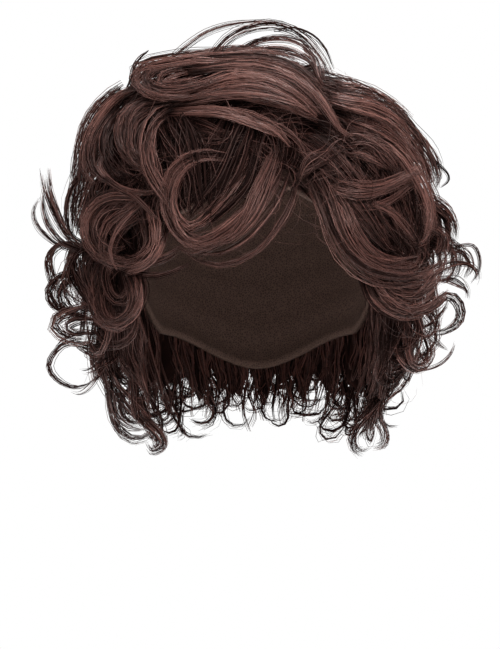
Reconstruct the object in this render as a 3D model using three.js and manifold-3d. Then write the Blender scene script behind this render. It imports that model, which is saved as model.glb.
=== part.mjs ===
// A short curly wig: a stretch cap, the dense under-hair sewn to it, and the separate locks styled over that.
// Millimetres, +Z up, the wearer faces -Y. The origin is the inside of the cap at the crown, where the head
// bears.
import * as THREE from "three";
import { mergeVertices } from "three/addons/utils/BufferGeometryUtils.js";
import Module from "manifold-3d";

const wasm = await Module();
wasm.setup();

// Driving dimensions

// The head that the cap is made for. Its widest level lies crownRise below the crown.
const HEAD = { halfBreadth: 76, halfLength: 98, crownRise: 105, napeDrop: 150 };
const CAP_WALL = 1.5;
const GAP = 0.5; // clear space between neighbouring pieces
const HEAD_ROOM = 6; // depth inside the cap that no lock may enter
const FACET_SAG = 2; // how far a flat facet of the under-hair dips below the curve it follows
const HAIR_TOP = { crown: 20, side: 21, back: 21 }; // thickness of the under-hair, by zone
const HAIR_EDGE = 5; // thickness of the under-hair at its free edges
const EDGE_FADE = 26; // degrees over which the under-hair thins towards a free edge

const BROAD_LOCK = 16; // a lock this wide or wider has more facets round it
const SECTION_SIDES = { broad: 8, fine: 6 };
const RUN_STEP = 32; // longest straight facet of a lock
const CURL_STEP = 50; // longest turn of one facet, in degrees
const CURL_TIGHTENS = 0.82; // a curl's last radius as a share of its first
const FORM_POWER = 2.6; // the outer form of the hair is a little squarer than an ellipsoid, which has 2
const OUTLINE_SOFTNESS = 0.05; // how gently a lock leaves that form where the form turns away
const CURL_FLATNESS = 13; // a curl's depth reaches its radius squared over this
const RUN_DEPTH = 0.6; // or this share of its straight run, if that is more
const TAPER = [
  { along: 0, share: 0.6 },
  { along: 0.2, share: 0.95 },
  { along: 0.5, share: 1 },
  { along: 0.8, share: 0.75 },
  { along: 1, share: 0.3 },
];

// The cap's lower edge and the under-hair's, going round one side from the forehead to the nape.
// around is in degrees from the front, and capDrop and hairDrop are depths below the crown.
const HAIRLINE = [
  { around: 0, capDrop: 52, hairDrop: 50 },
  { around: 46, capDrop: 72, hairDrop: 74 },
  { around: 76, capDrop: 124, hairDrop: 160 },
  { around: 100, capDrop: 110, hairDrop: 168 },
  { around: 128, capDrop: 142, hairDrop: 172 },
  { around: 180, capDrop: 164, hairDrop: 184 },
];

// The elevations that locks are drawn on: the way across, the way up, and the way the viewer looks.
const PANELS = {
  front: { across: [1, 0, 0], up: [0, 0, 1], look: [0, 1, 0] },
  back: { across: [-1, 0, 0], up: [0, 0, 1], look: [0, -1, 0] },
  right: { across: [0, 1, 0], up: [0, 0, 1], look: [-1, 0, 0] },
  left: { across: [0, -1, 0], up: [0, 0, 1], look: [1, 0, 0] },
  top: { across: [1, 0, 0], up: [0, 1, 0], look: [0, 0, -1] },
};

// A lock runs from its root straight onto the circle of its curl, then round that circle.
// rootX, rootZ and eyeX, eyeZ place the root and the curl's centre on the panel, and turn is anticlockwise.
// liftRoot and liftTip are heights over the head. back sets the tip away from the viewer, and rootBack, where
// a row gives it, the root.
const LOCK_COLUMNS =
  "name rootX rootZ eyeX eyeZ radius turn liftRoot liftTip back width depth rootBack".split(" ");
const FRONT_LOCKS = [
  ["fringe_wisp", 25, -44, -19, -63, 39, -98, 14, 22, 0, 8, 5],
  ["fringe_loop", 12, -26, -28, -58, 25, -285, 18, 28, 0, 21, 14],
  ["temple_wisp", -34, -84, -63, -87, 22, -105, 22, 24, 0, 8, 5],
  ["top_swoop", -62, 2, 6, -48, 58, -72, 22, 35, 0, 25, 16],
  ["crown_arc", -42, 24, 15, 14, 29, -150, 18, 32, 0, 12, 8],
  ["second_swoop", -58, -10, -8, -52, 42, -70, 20, 29, 0, 20, 14],
  ["top_roll", 22, 24, -60, 11, 12, 200, 22, 33, 0, 20, 14],
  ["fringe_curl", -26, -12, -46, -32, 19, 165, 20, 30, 0, 15, 12],
  ["left_high_curl", -46, -2, -66, -23, 18, 205, 22, 31, 0, 16, 13],
  ["left_rim_curl", -70, 6, -87, -28, 18, 230, 22, 33, 10, 17, 14],
  ["left_ring_curl", -62, -52, -88, -77, 17, 250, 20, 32, 0, 18, 14],
  ["left_puff", -66, -74, -86, -110, 19, 300, 20, 31, 0, 19, 15],
  ["left_flick", -98, -86, -124, -70, 11, -215, 20, 34, 12, 9, 7],
  ["left_outer_curl", -94, -80, -112, -106, 13, 170, 20, 34, 14, 12, 9],
  ["left_low_curl", -84, -122, -111, -130, 11, 230, 18, 30, 14, 13, 10],
  ["left_open_ring", -82, -142, -109, -160, 16, 225, 16, 26, 20, 8, 7],
  ["left_ear_lock", -76, -100, -112, -160, 34, -36, 12, 13, 28, 17, 11, 10],
  ["left_nape_lock", -92, -140, -46, -166, 44, 60, 16, 14, 90, 14, 11, 20],
  ["left_nape_ring", -88, -168, -77, -193, 12, 200, 4, 12, 76, 9, 7, 10],
  ["right_swoop", 38, 10, 48, -56, 54, -88, 22, 35, 8, 25, 16],
  ["right_loop", 40, -18, 66, -43, 18, -215, 14, 29, 0, 17, 14],
  ["face_lock", 30, -42, 76, -82, 27, 215, 16, 30, 0, 22, 15],
  ["right_puff", 66, -92, 86, -114, 16, -280, 20, 31, 0, 18, 14],
  ["right_rim_curl", 70, -4, 94, -36, 16, -180, 20, 32, 22, 15, 12],
  ["right_outer_curl", 92, -58, 106, -78, 13, -180, 20, 32, 14, 12, 10],
  ["right_flick", 98, -92, 121, -101, 11, -240, 20, 36, 16, 9, 7],
  ["right_low_ring", 92, -118, 110, -129, 11, -230, 18, 30, 16, 9, 7],
  ["right_open_ring", 82, -134, 96, -151, 9, -300, 16, 24, 20, 9, 7],
  ["right_tail", 88, -162, 104, -146, 16, 120, 16, 28, 26, 7, 6],
  ["right_ear_lock", 76, -98, 112, -158, 34, 36, 12, 13, 28, 17, 11, 10],
  ["right_nape_lock", 95, -143, 35, -162, 44, -52, 16, 14, 92, 15, 12, 24],
  ["right_nape_tail", 73, -180, 66, -202, 9, -200, 14, 12, 84, 11, 9, 68],
];

// The sides, back and top carry tiers of like curls. Neighbours in a tier turn opposite ways.
const CURL_TIERS = [
  { panel: "top", name: "crown_curl", eyes: [-46, 0, 46], level: 14, radius: 17 },
  { panel: "back", name: "back_high_curl", eyes: [-70, -24, 24, 70], level: -18, radius: 18 },
  { panel: "back", name: "back_mid_curl", eyes: [-84, -30, 30, 84], level: -76, radius: 19 },
  { panel: "back", name: "back_low_curl", eyes: [-62, 0, 62], level: -134, radius: 18 },
  { panel: "right", name: "right_side_curl", eyes: [10, 56], level: -52, radius: 18 },
  { panel: "right", name: "right_ear_curl", eyes: [24, 66], level: -112, radius: 16 },
  { panel: "left", name: "left_side_curl", eyes: [-56, -10], level: -52, radius: 18 },
  { panel: "left", name: "left_ear_curl", eyes: [-66, -24], level: -112, radius: 16 },
];
const TIER_CURL = {
  rise: 34, // root above the curl's centre
  sway: 8, // root to one side of it
  sweep: 255,
  liftRoot: 20,
  liftTip: 31,
  width: 25,
  depth: 17,
};

// Shapes

const radians = THREE.MathUtils.degToRad;

// A value read off a table of rows by straight lines between them.
function lookUp(rows, from, to, at) {
  const next = Math.max(1, rows.findIndex((row) => row[from] >= at));
  const [low, high] = [rows[next - 1], rows[next]];
  return THREE.MathUtils.mapLinear(at, low[from], high[from], low[to], high[to]);
}

const HEAD_CENTRE = new THREE.Vector3(0, 0, -HEAD.crownRise);

// Half sizes of the head grown by lift, above its widest level or below it.
function halfSizes(above, lift) {
  const rise = above ? HEAD.crownRise : HEAD.napeDrop;
  return new THREE.Vector3(HEAD.halfBreadth + lift, HEAD.halfLength + lift, rise + lift);
}

// A point over the head: around in degrees from the front towards +X, polar in degrees down from the crown.
function overHead(around, polar, lift, power) {
  const level = Math.sin(radians(polar));
  const way = new THREE.Vector3(
    level * Math.sin(radians(around)),
    -level * Math.cos(radians(around)),
    Math.cos(radians(polar)),
  );
  const size = way.toArray().reduce((sum, at) => sum + Math.abs(at) ** power, 0) ** (1 / power);
  return way.divideScalar(size).multiply(halfSizes(polar <= 90, lift)).add(HEAD_CENTRE);
}

// The polar angle on the head at a depth below the crown.
function polarAt(drop) {
  const rise = drop <= HEAD.crownRise ? HEAD.crownRise : HEAD.napeDrop;
  return THREE.MathUtils.radToDeg(Math.acos((HEAD.crownRise - drop) / rise));
}

// The polar angle of the cap's or the under-hair's lower edge, eased so that the edge has no corners.
function edgePolar(around, column) {
  const side = Math.abs(THREE.MathUtils.euclideanModulo(around + 180, 360) - 180);
  const next = Math.max(1, HAIRLINE.findIndex((row) => row.around >= side));
  const [low, high] = [HAIRLINE[next - 1], HAIRLINE[next]];
  const share = THREE.MathUtils.smoothstep(side, low.around, high.around);
  return polarAt(THREE.MathUtils.lerp(low[column], high[column], share));
}

// A solid through like sections. A closed path joins its last section to its first, and others get end faces.
function loft(sections, closedPath = false) {
  const size = sections[0].length;
  const points = sections.flat();
  const index = [];
  const quad = (a, b, c, d) => index.push(a, b, c, a, c, d);
  const last = closedPath ? sections.length : sections.length - 1;
  for (let i = 0; i < last; i++) {
    const here = i * size;
    const there = ((i + 1) % sections.length) * size;
    for (let k = 0; k < size; k++) {
      const next = (k + 1) % size;
      quad(here + k, here + next, there + next, there + k);
    }
  }
  if (!closedPath) {
    const end = (sections.length - 1) * size;
    for (let k = 0; k < size / 2 - 1; k++) {
      const far = size - 1 - k;
      quad(k, far, far - 1, k + 1);
      quad(end + k, end + k + 1, end + far - 1, end + far);
    }
  }
  const geometry = new THREE.BufferGeometry().setFromPoints(points).setIndex(index);
  return toSolid(geometry);
}

// A closed geometry as a solid, without the triangles that shrink to nothing at a pole.
function toSolid(geometry) {
  const merged = mergeVertices(geometry, 1e-3);
  const corners = merged.index.array;
  const kept = [];
  for (let i = 0; i < corners.length; i += 3) {
    const [a, b, c] = corners.slice(i, i + 3);
    if (a !== b && b !== c && c !== a) kept.push(a, b, c);
  }
  const vertProperties = new Float32Array(merged.attributes.position.array);
  const triVerts = new Uint32Array(kept);
  return new wasm.Manifold(new wasm.Mesh({ numProp: 3, vertProperties, triVerts }));
}

function toGeometry(solid) {
  const { vertProperties, triVerts } = solid.getMesh();
  const geometry = new THREE.BufferGeometry();
  geometry.setAttribute("position", new THREE.BufferAttribute(vertProperties, 3));
  geometry.setIndex(new THREE.BufferAttribute(triVerts, 1));
  geometry.computeVertexNormals();
  return geometry;
}

// A wall over the head between two lifts, as the section at one angle around: out along the top, then back
// underneath.
// Its outside is an ellipsoid like its inside unless a power says otherwise.
function wallSection(around, polars, inner, outer, power = 2) {
  const over = polars.map((polar) => overHead(around, polar, outer(around, polar), power));
  const under = polars.map((polar) => overHead(around, polar, inner, 2));
  return [...over, ...under.reverse()];
}

function spread(low, high, steps) {
  return Array.from({ length: steps + 1 }, (_, i) => low + ((high - low) * i) / steps);
}

// The cap: one thin wall from the crown to the hairline.
function capSolid(inner = 0, grow = 0) {
  const aroundSteps = 28;
  const polarSteps = 6;
  const sections = spread(0, 360, aroundSteps).slice(0, -1).map((around) => {
    const polars = spread(0, edgePolar(around, "capDrop") + grow, polarSteps);
    return wallSection(around, polars, inner, () => CAP_WALL + grow);
  });
  return loft(sections, true);
}

// The under-hair in four zones: a dome over the crown, and panels down both sides and the back.
const CROWN_POLAR = polarAt(48);
const ZONES = [
  { name: "crown_hair", top: HAIR_TOP.crown },
  { name: "right_side_hair", top: HAIR_TOP.side, from: 44, to: 130, freeStart: true },
  { name: "back_hair", top: HAIR_TOP.back, from: 130.4, to: 229.6 },
  { name: "left_side_hair", top: HAIR_TOP.side, from: 230, to: 316, freeEnd: true },
];
const HAIR_FLOOR = CAP_WALL + GAP + FACET_SAG; // lift of the under-hair's inner face
const ZONE_STEP = 13; // degrees between the sections of a zone

// How far an angle has come in from a free edge, from 0 at the edge to 1.
function fromEdge(angle, edge) {
  return THREE.MathUtils.smoothstep(Math.abs(angle - edge), 0, EDGE_FADE);
}

function zoneSolid(zone, grow = 0) {
  if (zone.from === undefined) {
    const thickness = (around, polar) => {
      const forward = Math.max(0, Math.cos(radians(around)));
      const thin = forward * (1 - fromEdge(polar, CROWN_POLAR));
      return THREE.MathUtils.lerp(zone.top, HAIR_EDGE, thin) + HAIR_FLOOR + grow;
    };
    const polars = spread(0, CROWN_POLAR + grow, 4);
    const arounds = spread(0, 360, 24).slice(0, -1);
    const sections = arounds.map((around) =>
      wallSection(around, polars, HAIR_FLOOR - grow, thickness, FORM_POWER),
    );
    return loft(sections, true);
  }
  const steps = Math.round((zone.to - zone.from) / ZONE_STEP);
  const sections = spread(zone.from - grow, zone.to + grow, steps).map((around) => {
    const foot = edgePolar(around, "hairDrop") + grow;
    const polars = spread(CROWN_POLAR + GAP - grow, foot, 5);
    const thickness = (at, polar) => {
      const start = zone.freeStart ? fromEdge(at, zone.from) : 1;
      const end = zone.freeEnd ? fromEdge(at, zone.to) : 1;
      const share = Math.min(start, end, fromEdge(polar, foot));
      return THREE.MathUtils.lerp(HAIR_EDGE, zone.top, share) + HAIR_FLOOR + grow;
    };
    return wallSection(around, polars, HAIR_FLOOR - grow, thickness, FORM_POWER);
  });
  return loft(sections);
}

// Locks

// A point of a panel, level with the middle of the head.
function onPanel(panel, flat) {
  const across = new THREE.Vector3(...PANELS[panel].across).multiplyScalar(flat.x);
  const up = new THREE.Vector3(...PANELS[panel].up).multiplyScalar(flat.y);
  const look = new THREE.Vector3(...PANELS[panel].look);
  return across.add(up).sub(HEAD_CENTRE).projectOnPlane(look);
}

// How far the outer form, grown by lift, stands in front of a point of a panel.
function formDepth(panel, flat, lift) {
  const point = onPanel(panel, flat);
  const half = halfSizes(point.z >= 0, lift);
  const facing = new THREE.Vector3(...PANELS[panel].look).multiply(half).length();
  const used = point.divide(half).toArray().reduce((sum, at) => sum + Math.abs(at) ** FORM_POWER, 0);
  const within = 1 - used;
  const softened = (within + Math.hypot(within, 2 * OUTLINE_SOFTNESS)) / 2;
  return facing * softened ** (1 / FORM_POWER);
}

// A point of a lock in space. It follows the outer form, but a small curl stays near the depth of its centre.
function ontoForm(lock, flat, lift, back, reach) {
  const eye = new THREE.Vector2(lock.eyeX, lock.eyeZ);
  const eyeDepth = formDepth(lock.panel, eye, lift);
  const fall = formDepth(lock.panel, flat, lift) - eyeDepth;
  const depth = eyeDepth + reach * Math.tanh(fall / reach) - back;
  const toViewer = new THREE.Vector3(...PANELS[lock.panel].look).negate();
  return onPanel(lock.panel, flat).addScaledVector(toViewer, depth).add(HEAD_CENTRE);
}

// A lock's centreline as points, with the share of its length at each.
function centreline(lock) {
  const sense = Math.sign(lock.turn);
  const root = new THREE.Vector2(lock.rootX, lock.rootZ);
  const eye = new THREE.Vector2(lock.eyeX, lock.eyeZ);
  const away = root.distanceTo(eye);
  const run = Math.sqrt(Math.max(0, away ** 2 - lock.radius ** 2));
  const heading = eye.clone().sub(root).angle() - sense * Math.asin(Math.min(1, lock.radius / away));
  const landing = new THREE.Vector2(Math.cos(heading), Math.sin(heading)).multiplyScalar(run).add(root);
  const start = landing.clone().sub(eye).angle();
  const sweep = radians(Math.abs(lock.turn));
  const length = run + lock.radius * sweep;
  const reach = Math.max(lock.radius ** 2 / CURL_FLATNESS, run * RUN_DEPTH);
  const runSteps = Math.max(1, Math.ceil(run / RUN_STEP));
  const curlSteps = Math.ceil(Math.abs(lock.turn) / CURL_STEP);
  const stations = [
    ...spread(0, run, runSteps).slice(0, -1),
    ...spread(run, length, curlSteps),
  ];
  return stations.map((along) => {
    const flat = root.clone().lerp(landing, Math.min(1, along / Math.max(run, 1e-6)));
    if (along >= run) {
      const turned = (along - run) / lock.radius;
      const radius = lock.radius * THREE.MathUtils.lerp(1, CURL_TIGHTENS, turned / sweep);
      const angle = start + sense * turned;
      flat.set(Math.cos(angle), Math.sin(angle)).multiplyScalar(radius).add(eye);
    }
    const share = along / length;
    const ease = THREE.MathUtils.smoothstep(share, 0, 1);
    const lift = THREE.MathUtils.lerp(lock.liftRoot, lock.liftTip, ease);
    const back = THREE.MathUtils.lerp(lock.rootBack, lock.back, ease);
    return { share, point: ontoForm(lock, flat, lift, back, reach) };
  });
}

// A lock's solid: flat oval sections along its centreline, broad side to the viewer, thinning to the tip.
function lockSolid(lock, grow = 0) {
  const line = centreline(lock);
  const sides = lock.width >= BROAD_LOCK ? SECTION_SIDES.broad : SECTION_SIDES.fine;
  const toViewer = new THREE.Vector3(...PANELS[lock.panel].look).negate();
  const sections = line.map(({ share, point }, i) => {
    const before = line[Math.max(0, i - 1)].point;
    const after = line[Math.min(line.length - 1, i + 1)].point;
    const along = after.clone().sub(before).normalize();
    const side = toViewer.clone().cross(along).normalize();
    const out = along.clone().cross(side);
    const taper = lookUp(TAPER, "along", "share", share);
    const end = grow * (i === 0 ? -1 : i === line.length - 1 ? 1 : 0);
    return spread(0, 360, sides).slice(0, -1).map((angle) =>
      point
        .clone()
        .addScaledVector(along, end)
        .addScaledVector(side, ((lock.width / 2) * taper + grow) * Math.cos(radians(angle)))
        .addScaledVector(out, ((lock.depth / 2) * taper + grow) * Math.sin(radians(angle))),
    );
  });
  return loft(sections);
}

function frontLocks() {
  return FRONT_LOCKS.map((row) => ({
    panel: "front",
    ...Object.fromEntries(LOCK_COLUMNS.map((column, i) => [column, row[i] ?? 0])),
  }));
}

function tierLocks() {
  return CURL_TIERS.flatMap(({ panel, name, eyes, level, radius }) =>
    eyes.map((eyeX, i) => {
      const sense = i % 2 ? -1 : 1;
      return {
        panel,
        name: `${name}_${i + 1}`,
        rootX: eyeX + sense * TIER_CURL.sway,
        rootZ: level + TIER_CURL.rise,
        eyeX,
        eyeZ: level,
        radius,
        turn: sense * TIER_CURL.sweep,
        liftRoot: TIER_CURL.liftRoot,
        liftTip: TIER_CURL.liftTip,
        back: 0,
        rootBack: 0,
        width: TIER_CURL.width,
        depth: TIER_CURL.depth,
      };
    }),
  );
}

// Assembly

const hair = new THREE.MeshStandardMaterial({ color: 0x4f3935, roughness: 0.45, metalness: 0 });
const underHair = new THREE.MeshStandardMaterial({ color: 0x2b1c19, roughness: 0.6, metalness: 0 });
const net = new THREE.MeshStandardMaterial({ color: 0x241a18, roughness: 0.85, metalness: 0 });

const wig = new THREE.Group();
wig.name = "curly_wig";

function addPiece(name, solid, material) {
  const mesh = new THREE.Mesh(toGeometry(solid), material);
  mesh.name = name;
  wig.add(mesh);
}

function boxesMeet(a, b) {
  const [boxA, boxB] = [a.boundingBox(), b.boundingBox()];
  return [0, 1, 2].every((axis) => boxA.min[axis] < boxB.max[axis] && boxB.min[axis] < boxA.max[axis]);
}

addPiece("wig_cap", capSolid(), net);
for (const zone of ZONES) addPiece(zone.name, zoneSolid(zone), underHair);

// Each lock is cut back from what was placed before it, so that it beds on the under-hair and its neighbours.
const keepClear = [capSolid(-HEAD_ROOM, GAP), ...ZONES.map((zone) => zoneSolid(zone, GAP))];
for (const lock of [...frontLocks(), ...tierLocks()]) {
  let solid = lockSolid(lock);
  for (const placed of keepClear) if (boxesMeet(solid, placed)) solid = solid.subtract(placed);
  const whole = solid.decompose().sort((a, b) => b.volume() - a.volume())[0];
  addPiece(lock.name, whole, hair);
  keepClear.push(lockSolid(lock, GAP));
}

export default wig;
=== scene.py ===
"""A short, dark auburn, curly wig, built strand by strand over its cap and seen as a shop would show it."""

import bpy
import numpy as np
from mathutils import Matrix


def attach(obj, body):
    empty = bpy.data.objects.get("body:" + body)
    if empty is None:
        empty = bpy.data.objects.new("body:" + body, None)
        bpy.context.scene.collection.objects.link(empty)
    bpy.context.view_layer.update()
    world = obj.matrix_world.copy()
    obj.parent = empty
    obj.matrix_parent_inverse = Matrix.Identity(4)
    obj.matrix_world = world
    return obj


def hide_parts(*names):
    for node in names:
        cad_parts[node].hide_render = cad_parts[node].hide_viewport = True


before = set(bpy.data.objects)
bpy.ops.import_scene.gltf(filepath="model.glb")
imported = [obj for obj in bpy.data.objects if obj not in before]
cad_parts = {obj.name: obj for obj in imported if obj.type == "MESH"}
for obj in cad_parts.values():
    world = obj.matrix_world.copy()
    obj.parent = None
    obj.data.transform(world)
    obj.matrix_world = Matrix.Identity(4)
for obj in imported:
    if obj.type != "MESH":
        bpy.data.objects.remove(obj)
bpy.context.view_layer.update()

MM = 0.001
SEED = 11

# The head that the cap is made for, in millimetres. Its widest level lies CROWN_RISE below the crown.
HALF_BREADTH = 76.0
HALF_LENGTH = 98.0
CROWN_RISE = 105.0
NAPE_DROP = 150.0
HEAD_CENTRE = np.array([0.0, 0.0, -CROWN_RISE])
CAP_WALL = 1.5
HAIR_FLOOR = 4.0  # lift of the under-hair's inner face
FORM_POWER = 2.6  # the outer form of the hair is a little squarer than an ellipsoid, which has 2
OUTLINE_SOFTNESS = 0.05  # how gently hair leaves that form where the form turns away
CURL_FLATNESS = 13.0  # a curl's depth reaches its radius squared over this
RUN_DEPTH = 0.6  # or this share of its straight run, if that is more
CURL_TIGHTENS = 0.82  # a curl's last radius as a share of its first
MOST_RADIUS = 0.999  # a curl's radius is at most this share of the way from its root to its centre
OUTLINE_END = 0.98  # heights are read no further out than this share of the form's half breadth
RIPPLE_AT_ROOT = 0.4  # a wave's size at the root as a share of that at the tip
RIPPLE_DEPTH = 0.5  # a wave's depth as a share of its breadth

# The lower edges of cap and under-hair, round one side: degrees from the front, then depths below the crown.
HAIRLINE_AROUND = (0, 46, 76, 100, 128, 180)
CAP_DROP = (52, 72, 124, 110, 142, 164)
HAIR_DROP = (50, 74, 160, 168, 172, 184)

# The viewer's eye, and the depth at which the front view's places across and up are true.
EYE = np.array([-4.8, -1600.0, -135.9])
PICTURE_PLANE = -30.0

# The elevations that hair is drawn on: the way across, the way up, and the way the viewer looks.
PANELS = {
    "front": ((1, 0, 0), (0, 0, 1), (0, 1, 0)),
    "back": ((-1, 0, 0), (0, 0, 1), (0, -1, 0)),
    "right": ((0, 1, 0), (0, 0, 1), (-1, 0, 0)),
    "left": ((0, -1, 0), (0, 0, 1), (1, 0, 0)),
    "top": ((1, 0, 0), (0, 1, 0), (0, 0, -1)),
}

# A lock of the front is drawn in strokes, each from root to tip as it shows in the front view.


def stroke(lifts, width, clumps, strands, tint, *points, back=(0, 0)):
    """A stroke: lifts over the head, how its hair is gathered, and points across and up, in millimetres.

    lifts and back give values at the root and at the tip, and back sets the hair away from the viewer.
    strands is the number in each clump. Clumps of no strands are plain, for filling in deep down.
    """
    return {
        "points": points,
        "lifts": lifts,
        "width": width,
        "clumps": clumps,
        "strands": strands,
        "tint": tint,
        "back": back,
    }


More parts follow.
